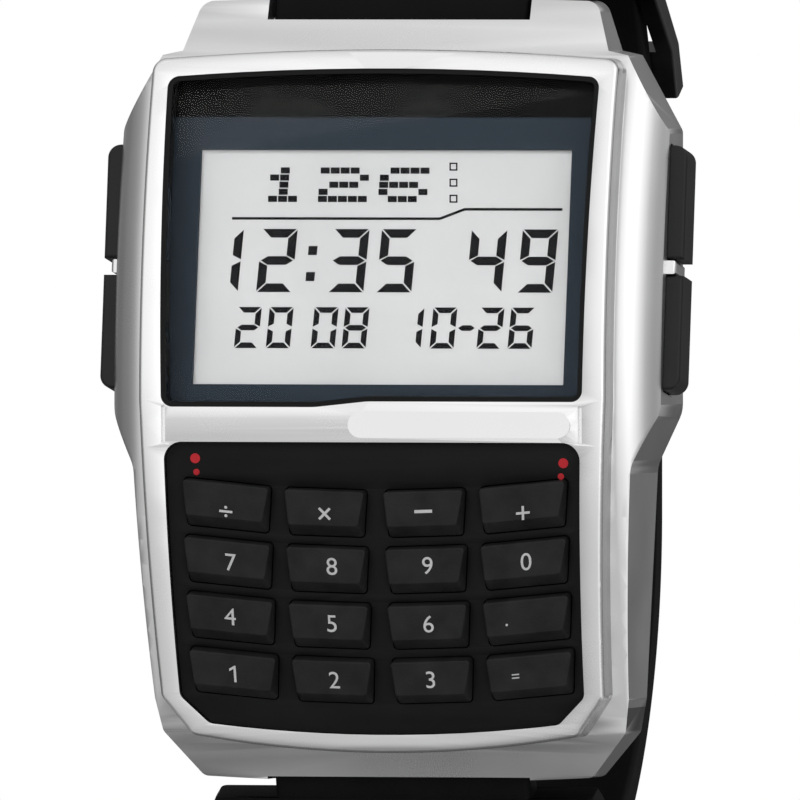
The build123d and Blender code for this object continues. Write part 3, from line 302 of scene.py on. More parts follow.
MATERIALS["window_glass"] = window_glass()
MATERIALS["mask_print"] = mask_print()
MATERIALS["lcd_glass"] = lcd_surface()
LCD_INK = grained(
    "lcd_ink", (0.0015, 0.0016, 0.0022), (0.003, 0.003, 0.004), 0.5, 8.0, 0.0, specular=0.1
)
LEGEND_INK = grained(
    "legend_ink", (0.44, 0.44, 0.445), (0.58, 0.58, 0.58), 0.55, 9.0, 0.004, specular=0.1
)
RED_PAINT = grained(
    "red_paint", (0.42, 0.018, 0.026), (0.55, 0.03, 0.038), 0.4, 9.0, 0.004, specular=0.15
)

# painted shade on the side walls of both bright metal finishes
for metal in ("bright_steel", "case_plastic"):
    painted_wall_shade(MATERIALS[metal])

slot_of = {part["node"]: part["material_slot"] for part in frame["record"]["subparts"]}
for name, item in nodes.items():
    item.data.materials.clear()
    item.data.materials.append(MATERIALS[slot_of[name]])
nodes["window"].visible_shadow = False


def soften(name, width):
    """Small rounded edges on a hard CAD piece, so that its edges catch the light."""
    item = nodes[name]
    weld = item.modifiers.new("weld", "WELD")
    weld.merge_threshold = 0.000002
    rounding = item.modifiers.new("edges", "BEVEL")
    rounding.width = width * MM
    rounding.segments = 2
    rounding.limit_method = "ANGLE"
    rounding.angle_limit = math.radians(32)
    rounding.harden_normals = True
    rounding.use_clamp_overlap = True


# Mesh helpers

def mesh_piece(name, points, faces, material, body="case", smooth=True):
    """New piece from points in millimetres."""
    mesh = bpy.data.meshes.new(name)
    mesh.from_pydata([Vector(p) * MM for p in points], [], faces)
    mesh.validate()
    editing = bmesh.new()
    editing.from_mesh(mesh)
    bmesh.ops.remove_doubles(editing, verts=editing.verts, dist=0.0000005)
    bmesh.ops.recalc_face_normals(editing, faces=editing.faces)
    editing.to_mesh(mesh)
    editing.free()
    item = bpy.data.objects.new(name, mesh)
    bpy.context.scene.collection.objects.link(item)
    item.data.materials.append(material)
    if smooth:
        for face in mesh.polygons:
            face.use_smooth = True
    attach(item, body)
    return item


class Plate:
    """Place for flat marks: an origin, a right and an up direction, and a normal."""

    def __init__(self, height, depth, offset_x=0.0, turn=0.0):
        lean = math.asin(height / FRONT_RADIUS)
        reach = FRONT_RADIUS - depth
        y, z = BOW_CENTRE - reach * math.cos(lean), reach * math.sin(lean)
        self.origin = Vector((offset_x, y, z))
        self.normal = Vector((0, -math.cos(lean), math.sin(lean)))
        self.right = Vector(
            (math.cos(turn), math.sin(turn) * math.sin(lean), math.sin(turn) * math.cos(lean))
        )
        self.up = self.normal.cross(self.right)

    def at(self, x, y, out=0.0):
        return self.origin + self.right * x + self.up * y + self.normal * out


def marks(name, plate, shapes, material, body="case", low=0.0, high=0.03):
    """Thin raised shapes, each a list of places on a plate."""
    points, faces = [], []
    for shape in shapes:
        start, count = len(points), len(shape)
        points += [plate.at(x, y, low) for x, y in shape] + [plate.at(x, y, high) for x, y in shape]
        faces.append(list(range(start + count - 1, start - 1, -1)))
        faces.append(list(range(start + count, start + 2 * count)))
        for i in range(count):
            j = (i + 1) % count
            faces.append([start + i, start + j, start + count + j, start + count + i])
    return mesh_piece(name, points, faces, material, body, smooth=False)


def disc(radius, sides=40):
    """Outline of a round mark about a plate's origin."""
    turns = [2 * math.pi * i / sides for i in range(sides)]
    return [(radius * math.cos(turn), radius * math.sin(turn)) for turn in turns]


# Display marks. Places are read off the photograph in pixels and laid on the display's plane.

DISPLAY = Plate(11.0, 3.1)


def on_display(px, py):
    """Place on the display that the photograph's camera sees at a pixel."""
    across = (px - AXIS_PIXEL) / PIXELS
    height = (MIDDLE_PIXEL - py) / PIXELS
    up = (height - DISPLAY.origin.z) / DISPLAY.up.z
    depth = DISPLAY.origin.y + DISPLAY.up.y * up + CASE_DEPTH
    return ((across - depth * math.sin(VIEW_TURN)) / math.cos(VIEW_TURN), up)


SEGMENTS = {
    "0": "abcdef", "1": "bc", "2": "abged", "3": "abgcd", "4": "fgbc",
    "5": "afgcd", "6": "afgedc", "7": "abc", "8": "abcdefg", "9": "abcdfg", "-": "g",
}


def seven(char, x1, top, width, height, stroke, slant=0.1):
    """Segments of one figure whose top right corner is at (x1, top), in pixels."""
    w, h, t, g, m = width, height, stroke, 1.0, height / 2
    forms = {
        "a": [(g, 0), (w - g, 0), (w - t - g, t), (t + g, t)],
        "d": [(t + g, h - t), (w - t - g, h - t), (w - g, h), (g, h)],
        "b": [(w, g), (w, m - g), (w - t, m - t / 2 - g), (w - t, t + g)],
        "c": [(w, m + g), (w, h - g), (w - t, h - t - g), (w - t, m + t / 2 + g)],
        "f": [(0, g), (t, t + g), (t, m - t / 2 - g), (0, m - g)],
        "e": [(0, m + g), (t, m + t / 2 + g), (t, h - t - g), (0, h - g)],
        "g": [
            (1.6 * g, m), (t, m - t / 2), (w - t, m - t / 2),
            (w - 1.6 * g, m), (w - t, m + t / 2), (t, m + t / 2),
        ],
    }
    x0 = x1 - width - slant * height
    return [
        [on_display(x0 + x + slant * (h - y), top + y) for x, y in reversed(forms[segment])]
        for segment in SEGMENTS[char]
    ]


def slab(points):
    return [on_display(x, y) for x, y in points]


def box_marks(x0, y0, x1, y1):
    return slab([(x0, y1), (x1, y1), (x1, y0), (x0, y0)])


ink = []
for char, edge in (("1", 244), ("2", 298), ("3", 370), ("5", 418), ("4", 508), ("9", 559)):
    ink += seven(char, edge, 230, 35.5, 63, 8.6)
for x0, y0 in ((309, 247), (306.5, 273)):
    ink.append(slab([(x0 - 0.8, y0 + 9), (x0 + 8, y0 + 9), (x0 + 9, y0), (x0, y0)]))
for char, edge in (
    ("2", 262), ("0", 294), ("0", 339), ("8", 370),
    ("1", 425), ("0", 458), ("-", 479), ("2", 505), ("6", 536),
):
    ink += seven(char, edge, 308, 20 if char == "-" else 24, 41, 5.6)

DOTS = {
    "1": ("00100", "01100", "00100", "00100", "01110"),
    "2": ("11110", "00001", "01110", "10000", "11111"),
    "6": ("01111", "10000", "11110", "10001", "01110"),
}
for place_no, char in enumerate("126"):
    for row, line in enumerate(DOTS[char]):
        for column, lit in enumerate(line):
            if lit == "1":
                x0 = 261 + (place_no * 6 + column) * 10.0 - row * 0.7
                y0 = 168.5 + row * 7.1
                ink.append(box_marks(x0, y0, x0 + 9.0, y0 + 6.1))
for top in (163.5, 179.5, 195.5):
    for x0, y0, x1, y1 in (
        (450, top, 458, top + 1.4), (450, top + 6.6, 458, top + 8),
        (450, top + 1.4, 451.4, top + 6.6), (456.6, top + 1.4, 458, top + 6.6),
    ):
        ink.append(box_marks(x0, y0, x1, y1))
ink.append(slab([(232, 220.8), (440.5, 220.8), (440, 218.2), (232, 218.2)]))
ink.append(slab([(440.5, 220.8), (465.5, 211.3), (465, 208.7), (440, 218.2)]))
ink.append(slab([(465.5, 211.3), (563, 211.3), (563, 208.7), (465, 208.7)]))
lcd_marks = marks("lcd_marks", DISPLAY, ink, LCD_INK, low=0.004, high=0.02)

# Painted dots on the keypad panel, and legends on the keys


def on_face(px, py, depth):
    """(height, X) of a pixel on the bowed face at a depth under it."""
    height = (MIDDLE_PIXEL - py) / PIXELS
    sunk = FRONT_RADIUS - math.sqrt(FRONT_RADIUS ** 2 - height ** 2) + depth
    across = (px - AXIS_PIXEL) / PIXELS
    return height, (across - sunk * math.sin(VIEW_TURN)) / math.cos(VIEW_TURN)


for number, (px, py, radius) in enumerate(
    ((194.9, 459.5, 0.34), (196.2, 473.4, 0.22), (563.2, 463.2, 0.34), (560.8, 476.6, 0.22))
):
    height, x = on_face(px, py, PANEL_DEPTH)
    plate = Plate(height, PANEL_DEPTH, x)
    spot = marks(f"red_dot_{number}", plate, [disc(radius)], RED_PAINT, low=-0.01)

# Sign, letter size, and place on the key, across and up
FIGURE = 1.72
LEGENDS = {
    "divide": ("÷", 1.95, 0.01, -0.72), "multiply": ("×", 2.1, 0.0, -0.39),
    "minus": ("−", 2.65, 0.0, -0.2), "plus": ("+", 2.05, 0.05, -0.75),
    "7": ("7", FIGURE, 0.24, -0.25), "8": ("8", FIGURE, 0.39, -0.05),
    "9": ("9", FIGURE, 0.17, 0.02), "0": ("0", FIGURE, 0.16, -0.15),
    "4": ("4", FIGURE, 0.01, -0.1), "5": ("5", FIGURE, 0.2, -0.1),
    "6": ("6", FIGURE, 0.05, -0.1), "point": (".", 1.45, -1.4, -0.55),
    "1": ("1", FIGURE, -0.05, -0.2), "2": ("2", FIGURE, 0.13, -0.15),
    "3": ("3", FIGURE, -0.05, -0.1), "equals": ("=", 1.1, -1.0, -0.18),
}
ONE = [
    (0.35, 0.0), (0.51, 0.0), (0.51, 1.18), (0.41, 1.18), (0.04, 0.93), (0.04, 0.76), (0.35, 0.95)
]
ROWS = (
    ("divide", "multiply", "minus", "plus"),
    ("7", "8", "9", "0"),
    ("4", "5", "6", "point"),
    ("1", "2", "3", "equals"),
)


def key_plate(row, column):
    """Plate on a key's face, and the tilt of its upper and lower edges."""
    x = (column - 1.5) * KEY_PITCH_ACROSS
    lift = KEY_SMILE_RADIUS - math.sqrt(KEY_SMILE_RADIUS ** 2 - x ** 2)
    run = FRONT_RADIUS * math.asin(KEY_FIRST_ROW / FRONT_RADIUS) + row * KEY_PITCH_DOWN
    height = -FRONT_RADIUS * math.sin((run - lift) / FRONT_RADIUS)
    return Plate(height, -KEY_RISE, x + KEY_OFFSET), x / KEY_SMILE_RADIUS


def sign_mesh(sign, size):
    """Flat mesh of one sign: points (x, y, z) and faces."""
    if sign == "1":
        points = [(x, y, z) for z in (0.0, 0.024) for x, y in ONE]
        count = len(ONE)
        faces = [list(range(count - 1, -1, -1)), list(range(count, 2 * count))]
        for i in range(count):
            j = (i + 1) % count
            faces.append([i, j, count + j, count + i])
        return points, faces
    text = bpy.data.curves.new("sign", "FONT")
    text.body = sign
    text.size = size
    text.extrude = 0.012
    text.resolution_u = 6
    holder = bpy.data.objects.new("sign_holder", text)
    bpy.context.scene.collection.objects.link(holder)
    bpy.context.view_layer.update()
    seen_as = holder.evaluated_get(bpy.context.evaluated_depsgraph_get())
    flat = bpy.data.meshes.new_from_object(seen_as)
    bpy.data.objects.remove(holder)
    points = [tuple(v.co) for v in flat.vertices]
    faces = [list(face.vertices) for face in flat.polygons]
    bpy.data.meshes.remove(flat)
    return points, faces


for row, line in enumerate(ROWS):
    for column, key in enumerate(line):
        sign, size, dx, dy = LEGENDS[key]
        flat_points, faces = sign_mesh(sign, size)
        plate, tilt = key_plate(row, column)
        xs = [p[0] for p in flat_points]
        ys = [p[1] for p in flat_points]
        middle_x = (min(xs) + max(xs)) / 2
        middle_y = min(ys) if key == "point" else (min(ys) + max(ys)) / 2
        points = []
        for x, y, z in flat_points:
            across = x - middle_x + dx
            points.append(plate.at(across, y - middle_y + dy + across * tilt, z + 0.004))
        body = f"key_{key}_body"
        legend = mesh_piece("legend_" + key, points, faces, LEGEND_INK, body, smooth=False)

# Strap loop: bands swept along the same arcs as the model's

NEAR, FAR, OUTER, CROSSING = 11.9, 26.3, 29.6, 10.0   # radii of the band's middle
BAR_Y, BAR_RISE = -2.2, 2.1
LOOP_Y = BAR_Y + math.sqrt(NEAR ** 2 - BAR_RISE ** 2)
UPPER_NEAR = (LOOP_Y, 23.5)
LOWER_NEAR = (LOOP_Y, -22.9)
UPPER_FAR = (LOOP_Y, 9.1)
LOWER_FAR = (LOOP_Y, -8.5)
SWEEP = 90 - math.degrees(math.asin(BAR_RISE / NEAR))
TURN = 26.0
PIN_TURN = 54.0
KEEPER_TURN = 76.0
TAIL_TURN = 98.0
SLOT_HALF, WIDE_HALF, BAND_HALF = 9.0, 13.7, 9.5      # half widths along the band
WIDE_DEPTH, NARROW_DEPTH = 15.0, 26.0                 # where the width tapers
HALF_THICK = 1.2
BAR_EYE, PIN_EYE = 1.45, 1.3                          # radii of the band's two ends
TAIL_ROUND = 7.0
HOLE_COUNT, HOLE_PITCH, HOLE_AT_PIN = 8, 6.2, 5
HOLE_HALF = 1.05
STEP_HALF = 12.7                                      # half width where the wide part starts
GROOVE_DEPTH, RECESS_DEPTH = 0.2, 0.35


def about(centre, radius, angle):
    """Place on a circle in the (y, z) plane."""
    a = math.radians(angle)
    return (centre[0] + radius * math.cos(a), centre[1] + radius * math.sin(a))


def near_buckle(out, along):
    """Place by its distance from the far arc's centre, in the buckle's direction and across it."""
    c, s = math.cos(math.radians(TURN)), math.sin(math.radians(TURN))
    return (UPPER_FAR[0] + out * c - along * s, UPPER_FAR[1] + out * s + along * c)


def run_of(legs, step=0.45):
    """Places along arcs and lines: (distance, y, z, outward y, outward z)."""
    places, distance = [], 0.0
    for kind, first, second, third, fourth in legs:
        if kind == "arc":
            centre, radius, start, end = first, second, third, fourth
            length = radius * abs(math.radians(end - start))
        else:
            start_point, end_point, out = first, second, third
            length = math.dist(start_point, end_point)
        count = max(2, round(length / step))
        for i in range(count + 1):
            if i == 0 and places:
                continue
            share = i / count
            if kind == "arc":
                angle = start + (end - start) * share
                y, z = about(centre, radius, angle)
                a = math.radians(angle)
                ny, nz = math.cos(a), math.sin(a)
            else:
                y = start_point[0] + (end_point[0] - start_point[0]) * share
                z = start_point[1] + (end_point[1] - start_point[1]) * share
                ny, nz = out
            places.append((distance + length * share, y, z, ny, nz))
        distance += length
    return places


c_turn, s_turn = math.cos(math.radians(TURN)), math.sin(math.radians(TURN))
cross_out = FAR - CROSSING
cross_run = math.sqrt((OUTER - CROSSING) ** 2 - cross_out ** 2)
cross_sweep = math.degrees(math.atan2(cross_run, cross_out))
UPPER_LEGS = [
    ("arc", UPPER_NEAR, NEAR, 90 + SWEEP, 90),
    ("arc", UPPER_FAR, FAR, 90, PIN_TURN),
]
LOWER_LEGS = [
    ("arc", LOWER_NEAR, NEAR, 270 - SWEEP, 270),
    ("arc", LOWER_FAR, FAR, 270, 360),
    ("line", about(LOWER_FAR, FAR, 0), about(UPPER_FAR, FAR, 0), (1, 0), None),
    ("arc", UPPER_FAR, FAR, 0, TURN),
    ("line", near_buckle(FAR, 0), near_buckle(FAR, cross_run), (c_turn, s_turn), None),
    ("arc", near_buckle(cross_out, cross_run), CROSSING, TURN, TURN + cross_sweep),
    ("arc", UPPER_FAR, OUTER, TURN + cross_sweep, TAIL_TURN),
]


def smooth_step(value, low, high):
    t = min(1.0, max(0.0, (value - low) / (high - low)))
    return t * t * (3 - 2 * t)


def section(half_width, half_height, sink, groove):
    """Outline of the band, from its right side over the outer face and back inside."""
    radius = min(0.5, half_height * 0.8)
    inner_radius = min(0.4, half_height * 0.7)
    side, top = half_width - radius, half_height - radius
    inner_side, low = half_width - inner_radius, -half_height + inner_radius
    points = []
    for i in range(7):
        a = math.radians(15 * i)
        points.append((side + radius * math.cos(a), top + radius * math.sin(a)))
    border = half_width - 2.2
    stops = [half_width - 1.2]
    stops += [border + x for x in (0.55, 0.42, 0.3, 0.18, 0.05, -0.12, -0.3, -0.5)]
    stops += [(border - 0.5) * (1 - share / 8) for share in range(1, 8)] + [0.0]
    for x in stops + [-x for x in reversed(stops[:-1])]:
        out = abs(x)
        crown = 0.06 * (out / half_width) ** 2
        cut = 0.0
        if abs(out - border - 0.3) < 0.2:
            cut = groove * (1 - ((out - border - 0.3) / 0.2) ** 2)
        lowered = sink * smooth_step(border - out, 0.0, 0.3)
        points.append((x, half_height - crown - cut - lowered))
    for i in range(7):
        a = math.radians(90 + 15 * i)
        points.append((-side + radius * math.cos(a), top + radius * math.sin(a)))
    for i in range(5):
        a = math.radians(180 + 22.5 * i)
        points.append((-inner_side + inner_radius * math.cos(a), low + inner_radius * math.sin(a)))
    for share in (-0.6, -0.3, 0, 0.3, 0.6):
        points.append((half_width * share, -half_height))
    for i in range(5):
        a = math.radians(270 + 22.5 * i)
        points.append((inner_side + inner_radius * math.cos(a), low + inner_radius * math.sin(a)))
    return points


def sweep_band(name, rings, material):
    """Closed band from rings of (y, z, outward y, outward z, section points)."""
    points, faces = [], []
    count = len(rings[0][4])
    for y, z, ny, nz, outline in rings:
        points += [(x, y + n * ny, z + n * nz) for x, n in outline]
    for i in range(len(rings) - 1):
        for j in range(count):
            k = (j + 1) % count
            faces.append([i * count + j, i * count + k, (i + 1) * count + k, (i + 1) * count + j])
    faces.append(list(range(count)))
    faces.append(list(range((len(rings) - 1) * count, len(rings) * count)))
    return mesh_piece(name, points, faces, material)


def band_rings(legs, end_z, tail):
    """Rings of one band, from the eye at its bar to its far end."""
    places = run_of(legs)
    total = places[-1][0]
    side = math.copysign(1, end_z)
    rings = []
    start = places[0]
    along = (-start[4] * side, start[3] * side)
    if along[1] * side < 0:
        along = (-along[0], -along[1])
    for back in (1.42, 1.3, 1.05, 0.7, 0.35):
        h = math.sqrt(BAR_EYE ** 2 - back ** 2)
        y, z = start[1] - along[0] * back, start[2] - along[1] * back
        rings.append((y, z, start[3], start[4], section(SLOT_HALF, h, 0, 0)))
    step_at = None
    for distance, y, z, ny, nz in places:
        depth = y + CASE_DEPTH
        narrowed = min(1.0, max(0.0, (depth - WIDE_DEPTH) / (NARROW_DEPTH - WIDE_DEPTH)))
        half = WIDE_HALF - (WIDE_HALF - BAND_HALF) * narrowed
        h = max(HALF_THICK, math.sqrt(max(0.0, BAR_EYE ** 2 - distance ** 2)))
        sink = 0.0
        if distance < 12 and z * side < end_z * side + 0.05:
            half = SLOT_HALF
        elif distance < 14:
            if step_at is None:
                step_at = distance
                rings.append((y, z, ny, nz, section(SLOT_HALF, HALF_THICK, 0, 0)))
                for d in (0.0, 0.06, 0.2):
                    wide = STEP_HALF + math.sqrt(1 - (1 - d) ** 2)
                    thick = HALF_THICK - 0.25 * (1 - d / 0.2) ** 2
                    rings.append((y, z, ny, nz, section(wide, thick, 0, 0)))
                continue
            reach = distance - step_at
            if reach < 1:
                half = STEP_HALF + math.sqrt(1 - (1 - reach) ** 2)
        if step_at is not None:
            reach = distance - step_at
            inside = smooth_step(reach, 2.0, 2.3) * (1 - smooth_step(reach, 7.4, 7.7))
            sink = RECESS_DEPTH * inside
        groove = GROOVE_DEPTH if step_at is not None and distance - step_at > 8.6 else 0.0
        rest = total - distance
        if tail:
            if rest < TAIL_ROUND:
                arc = math.sqrt(max(0.0, TAIL_ROUND ** 2 - (TAIL_ROUND - rest) ** 2))
                half = max(2.7, min(half, BAND_HALF - TAIL_ROUND + arc))
            if rest < 0.6:
                h = HALF_THICK - 0.5 * (1 - rest / 0.6) ** 2
            groove *= smooth_step(rest, 2.0, 4.0)
        else:
            h = max(HALF_THICK, math.sqrt(max(0.0, PIN_EYE ** 2 - rest ** 2)))
            groove *= smooth_step(rest, 3.0, 5.0)
        rings.append((y, z, ny, nz, section(half, h, sink, groove)))
    last = places[-1]
    if not tail:
        back = places[-2]
        gap = math.dist(last[1:3], back[1:3])
        along = ((last[1] - back[1]) / gap, (last[2] - back[2]) / gap)
        for out in (0.35, 0.7, 1.0, 1.2, 1.29):
            h = math.sqrt(PIN_EYE ** 2 - out ** 2)
            y, z = last[1] + along[0] * out, last[2] + along[1] * out
            rings.append((y, z, last[3], last[4], section(BAND_HALF, h, 0, 0)))
    return rings


def cutter(name, holes, length, half_width, reach):
    """Prisms with rounded ends that cut slots through a band."""
    points, faces = [], []
    for y, z, ny, nz in holes:
        ty, tz = -nz, ny
        ring = []
        for i in range(24):
            a = 2 * math.pi * i / 24
            shift = (length / 2 - half_width) * (1 if math.cos(a) > 0 else -1)
            ring.append((half_width * math.sin(a), shift + half_width * math.cos(a)))
        start = len(points)
        for out in (-reach, reach):
            points += [(x, y + t * ty + out * ny, z + t * tz + out * nz) for x, t in ring]
        faces.append([start + i for i in range(24)])
        faces.append([start + 24 + i for i in reversed(range(24))])
        for i in range(24):
            j = (i + 1) % 24
            faces.append([start + j, start + i, start + 24 + i, start + 24 + j])
    mesh = bpy.data.meshes.new(name)
    mesh.from_pydata([Vector(p) * MM for p in points], [], faces)
    item = bpy.data.objects.new(name, mesh)
    bpy.context.scene.collection.objects.link(item)
    editing = bmesh.new()
    editing.from_mesh(mesh)
    bmesh.ops.recalc_face_normals(editing, faces=editing.faces)
    editing.to_mesh(mesh)
    editing.free()
    return item


def carve(item, tool):
    """Cut the tool's prisms out of a piece, and keep the result as its mesh."""
    cut = item.modifiers.new("cut", "BOOLEAN")
    cut.operation = "DIFFERENCE"
    cut.solver = "EXACT"
    cut.object = tool
    bpy.context.view_layer.update()
    cut_item = item.evaluated_get(bpy.context.evaluated_depsgraph_get())
    result = bpy.data.meshes.new_from_object(cut_item)
    item.modifiers.clear()
    item.data = result
    bpy.data.objects.remove(tool)
    edges = item.modifiers.new("edges", "BEVEL")
    edges.width = 0.12 * MM
    edges.segments = 2
    edges.limit_method = "ANGLE"
    edges.angle_limit = math.radians(50)


def at_run(places, distance):
    """Place on a run at a distance, between its samples."""
    for a, b in zip(places, places[1:]):
        if b[0] >= distance:
            share = (distance - a[0]) / (b[0] - a[0])
            mixed = [p + (q - p) * share for p, q in zip(a, b)]
            size = math.hypot(mixed[3], mixed[4])
            return mixed[1], mixed[2], mixed[3] / size, mixed[4] / size
    return places[-1][1:]


pin_along = FAR * math.sin(math.radians(PIN_TURN - TURN))
pin = near_buckle(FAR * math.cos(math.radians(PIN_TURN - TURN)), pin_along)
lower_run = run_of(LOWER_LEGS)
arcs = NEAR * math.radians(SWEEP) + FAR * (math.pi / 2 + math.radians(TURN))
to_buckle = arcs + UPPER_FAR[1] - LOWER_FAR[1]
first_hole = to_buckle + pin_along - HOLE_HALF - HOLE_AT_PIN * HOLE_PITCH
holes = [at_run(lower_run, first_hole + HOLE_PITCH * i) for i in range(HOLE_COUNT)]

resin = MATERIALS["strap_resin"]
upper_band = sweep_band("strap_band_upper", band_rings(UPPER_LEGS, 27.85, False), resin)
pin_out = (math.cos(math.radians(PIN_TURN)), math.sin(math.radians(PIN_TURN)))
carve(upper_band, cutter("pin_slot", [(*pin, *pin_out)], 3.2, HOLE_HALF, 3.0))
lower_band = sweep_band("strap_band_lower", band_rings(LOWER_LEGS, -26.7, True), resin)
carve(lower_band, cutter("strap_holes", holes, 3.5, HOLE_HALF, 2.4))
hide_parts("strap_upper")
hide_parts("strap_lower")

# Keeper ring
keeper_turn = math.radians(KEEPER_TURN)
radial = Vector((0, math.cos(keeper_turn), math.sin(keeper_turn)))
tangent = Vector((0, -math.sin(keeper_turn), math.cos(keeper_turn)))
ROOM, WALL, corner = 0.35, 0.55, 1.0
low, high = FAR - HALF_THICK - ROOM, OUTER + HALF_THICK + ROOM
middle = Vector((0, *about(UPPER_FAR, (low + high) / 2, KEEPER_TURN)))
half_high, half_wide = (high - low) / 2 + WALL, BAND_HALF + ROOM + WALL
ring = []
for sx, sn, start in ((1, 1, 0), (-1, 1, 90), (-1, -1, 180), (1, -1, 270)):
    for i in range(9):
        a = math.radians(start + 11.25 * i)
        c, s = math.cos(a), math.sin(a)
        x, n = sx * (half_wide - corner) + corner * c, sn * (half_high - corner) + corner * s
        ring.append((x, n, c, s))
# Half of the keeper's wall in section, with a groove near its edge: along the strap, outwards
HALF_PROFILE = [
    (1.85, -0.55), (2.0, -0.4), (2.0, 0.3), (1.94, 0.46), (1.75, 0.55),
    (1.25, 0.55), (1.15, 0.5), (1.05, 0.4), (0.95, 0.5), (0.85, 0.55),
]
other_half = [(-along, out) for along, out in reversed(HALF_PROFILE)]
profile = HALF_PROFILE + [(0.0, 0.55)] + other_half + [(0.0, -0.55)]
points, faces = [], []
for x, n, ox, on in ring:
    for along, out in profile:
        outwards = radial * (n + on * out) + tangent * along
        points.append(middle + Vector((x + ox * out, 0, 0)) + outwards)
size = len(profile)
for i in range(len(ring)):
    j = (i + 1) % len(ring)
    for k in range(size):
        m = (k + 1) % size
        faces.append([i * size + k, i * size + m, j * size + m, j * size + k])
keeper = mesh_piece("keeper_ring", points, faces, resin, "keeper")
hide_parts("strap_keeper")

# Edges of the hard pieces
for name, width in (
    ("case_body", 0.12), ("bezel", 0.07), ("keypad_panel", 0.05), ("case_back", 0.05),
    ("back_screws", 0.04), ("buckle_frame", 0.12), ("buckle_prong", 0.1),
):
    soften(name, width)

# Floor, backdrop, light and camera
box_low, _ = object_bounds()
floor_mesh = bpy.data.meshes.new("floor")
editing = bmesh.new()
bmesh.ops.create_circle(editing, cap_ends=True, segments=96, radius=0.17)
editing.to_mesh(floor_mesh)
editing.free()
floor = bpy.data.objects.new("floor", floor_mesh)
floor.location = (0, 0.012, box_low.z - 0.0002)
bpy.context.scene.collection.objects.link(floor)
material, made, links, shader = tree_of("floor")
shader.inputs["Base Color"].default_value = (0.86, 0.86, 0.86, 1)
shader.inputs["Roughness"].default_value = 0.7
coords = made.new("ShaderNodeTexCoord")
reach = made.new("ShaderNodeVectorMath")
reach.operation = "LENGTH"
links.new(coords.outputs["Object"], reach.inputs[0])
clear = made.new("ShaderNodeBsdfTransparent")
fade = made.new("ShaderNodeMixShader")
links.new(span(made, links, reach.outputs["Value"], 0.06, 0.165, 0.0, 1.0), fade.inputs["Fac"])
links.new(shader.outputs[0], fade.inputs[1])
links.new(clear.outputs[0], fade.inputs[2])
links.new(fade.outputs[0], made["Material Output"].inputs["Surface"])
floor.data.materials.append(material)
floor.visible_glossy = False

world = bpy.data.worlds.new("studio")
bpy.context.scene.world = world
world.use_nodes = True
made, links = world.node_tree.nodes, world.node_tree.links
made.clear()
output = made.new("ShaderNodeOutputWorld")
seen = made.new("ShaderNodeBackground")
lit = made.new("ShaderNodeBackground")
both = made.new("ShaderNodeMixShader")
rays = made.new("ShaderNodeLightPath")
seen.inputs["Color"].default_value = (1, 1, 1, 1)
coords = made.new("ShaderNodeTexCoord")
parts = made.new("ShaderNodeSeparateXYZ")
links.new(coords.outputs["Generated"], parts.inputs[0])


def steps(value, stops):
    """Brightness along one axis of the sky, from (place from -1 to 1, brightness) stops."""
    ramp = made.new("ShaderNodeValToRGB")
    ramp.color_ramp.interpolation = "EASE"
    colours = ramp.color_ramp.elements
    for number, (at, bright) in enumerate(stops):
        stop = colours[number] if number < 2 else colours.new((at + 1) / 2)
        stop.position = (at + 1) / 2
        stop.color = (bright, bright, bright, 1)
    links.new(span(made, links, value, -1, 1, 0, 1), ramp.inputs["Fac"])
    return ramp.outputs["Color"]


# The sky that the bright metal mirrors, as brightness from left to right, upwards and backwards
SKY_STRENGTH = 1.72
across = steps(parts.outputs["X"], (
    (-1, 0.13), (1, 0.22), (-0.86, 0.18), (-0.6, 0.50), (-0.2, 0.62), (0.3, 0.72),
    (0.52, 0.98), (0.76, 0.72), (0.95, 0.32),
))
upright = steps(parts.outputs["Z"], (
    (-1, 0.12), (1, 0.62), (-0.82, 0.16), (-0.64, 0.60), (-0.3, 0.58), (0.05, 1.0),
    (0.55, 1.0), (0.8, 0.74),
))
behind = steps(parts.outputs["Y"], (
    (-1, 1.0), (1, 0.05), (0.0, 1.0), (0.35, 0.62), (0.7, 0.36), (0.88, 0.2),
))
front = maths(made, links, "MULTIPLY", across, upright)
scaled = maths(made, links, "MULTIPLY", front, SKY_STRENGTH)
mirrored = maths(made, links, "MULTIPLY", scaled, behind)
tone = made.new("ShaderNodeMapRange")
links.new(rays.outputs["Is Glossy Ray"], tone.inputs["Value"])
tone.inputs["To Min"].default_value = 1.0
links.new(mirrored, tone.inputs["To Max"])
links.new(tone.outputs["Result"], seen.inputs["Strength"])
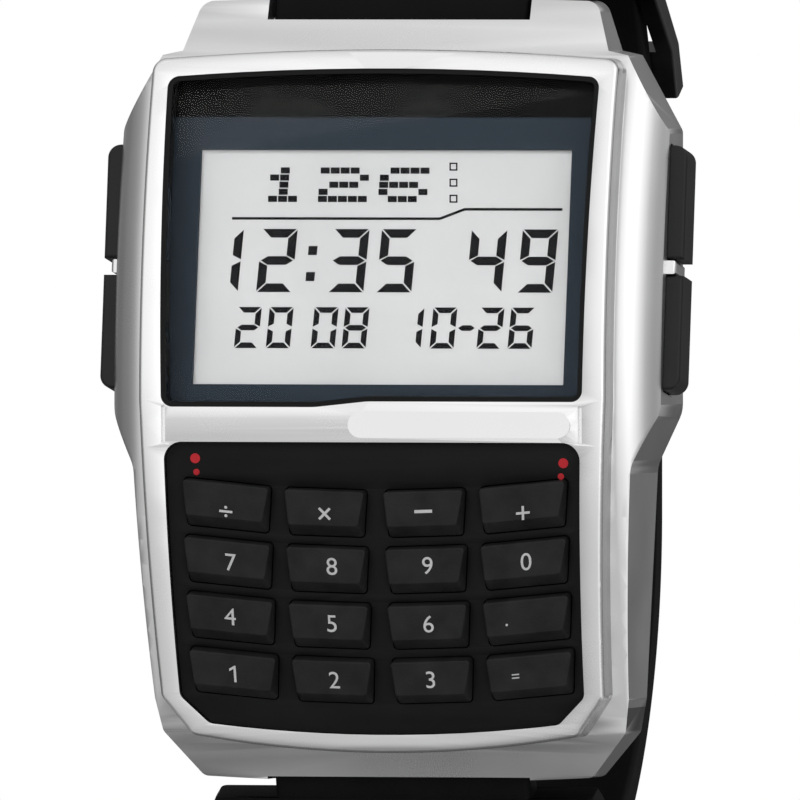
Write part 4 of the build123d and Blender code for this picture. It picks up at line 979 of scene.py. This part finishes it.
links.new(span(made, links, parts.outputs["Z"], -1, 1, 0.5, 0.78), lit.inputs["Strength"])
either = rays.outputs["Is Camera Ray"]
for ray in ("Is Glossy Ray", "Is Transmission Ray"):
    either = maths(made, links, "MAXIMUM", either, rays.outputs[ray])
links.new(either, both.inputs["Fac"])
links.new(lit.outputs[0], both.inputs[1])
links.new(seen.outputs[0], both.inputs[2])
links.new(both.outputs[0], output.inputs["Surface"])


def lamp(name, place_at, aim, size, power):
    """Square lamp that lights the object but doesn't show in its reflections."""
    data = bpy.data.lights.new(name, "AREA")
    data.shape = "SQUARE"
    data.size = size
    data.energy = power
    item = bpy.data.objects.new(name, data)
    item.location = place_at
    item.rotation_euler = (Vector(aim) - Vector(place_at)).to_track_quat("-Z", "Y").to_euler()
    item.visible_glossy = False
    bpy.context.scene.collection.objects.link(item)


lamp("key_light", (-0.35, -0.55, 0.45), (0, 0, 0), 0.4, 1.6)
lamp("fill_light", (0.5, -0.5, 0.1), (0, 0, 0), 0.35, 0.5)
lamp("back_light", (0.15, 0.6, 0.5), (0, 0.01, 0), 0.4, 2.5)
lamp("side_light", (-0.6, 0.15, 0.15), (0, 0.01, 0), 0.35, 1.5)

camera_data = bpy.data.cameras.new("camera")
camera = bpy.data.objects.new("camera", camera_data)
bpy.context.scene.collection.objects.link(camera)
bpy.context.scene.camera = camera
right = Vector((math.cos(VIEW_TURN), math.sin(VIEW_TURN), 0))
level = math.cos(VIEW_RISE)
back = Vector((math.sin(VIEW_TURN) * level, -math.cos(VIEW_TURN) * level, math.sin(VIEW_RISE)))
aim = Vector((0, -CASE_DEPTH, 0)) + right * VIEW_SHIFT
camera.location = (aim + back * VIEW_DISTANCE) * MM
camera.rotation_euler = (-back).to_track_quat("-Z", "Y").to_euler()
camera_data.sensor_width = 36
camera_data.lens = camera_data.sensor_width * VIEW_DISTANCE / FIELD
camera_data.clip_start = 0.05
camera_data.clip_end = 20

scene = bpy.context.scene
scene.view_settings.view_transform = "Standard"
scene.view_settings.look = "None"
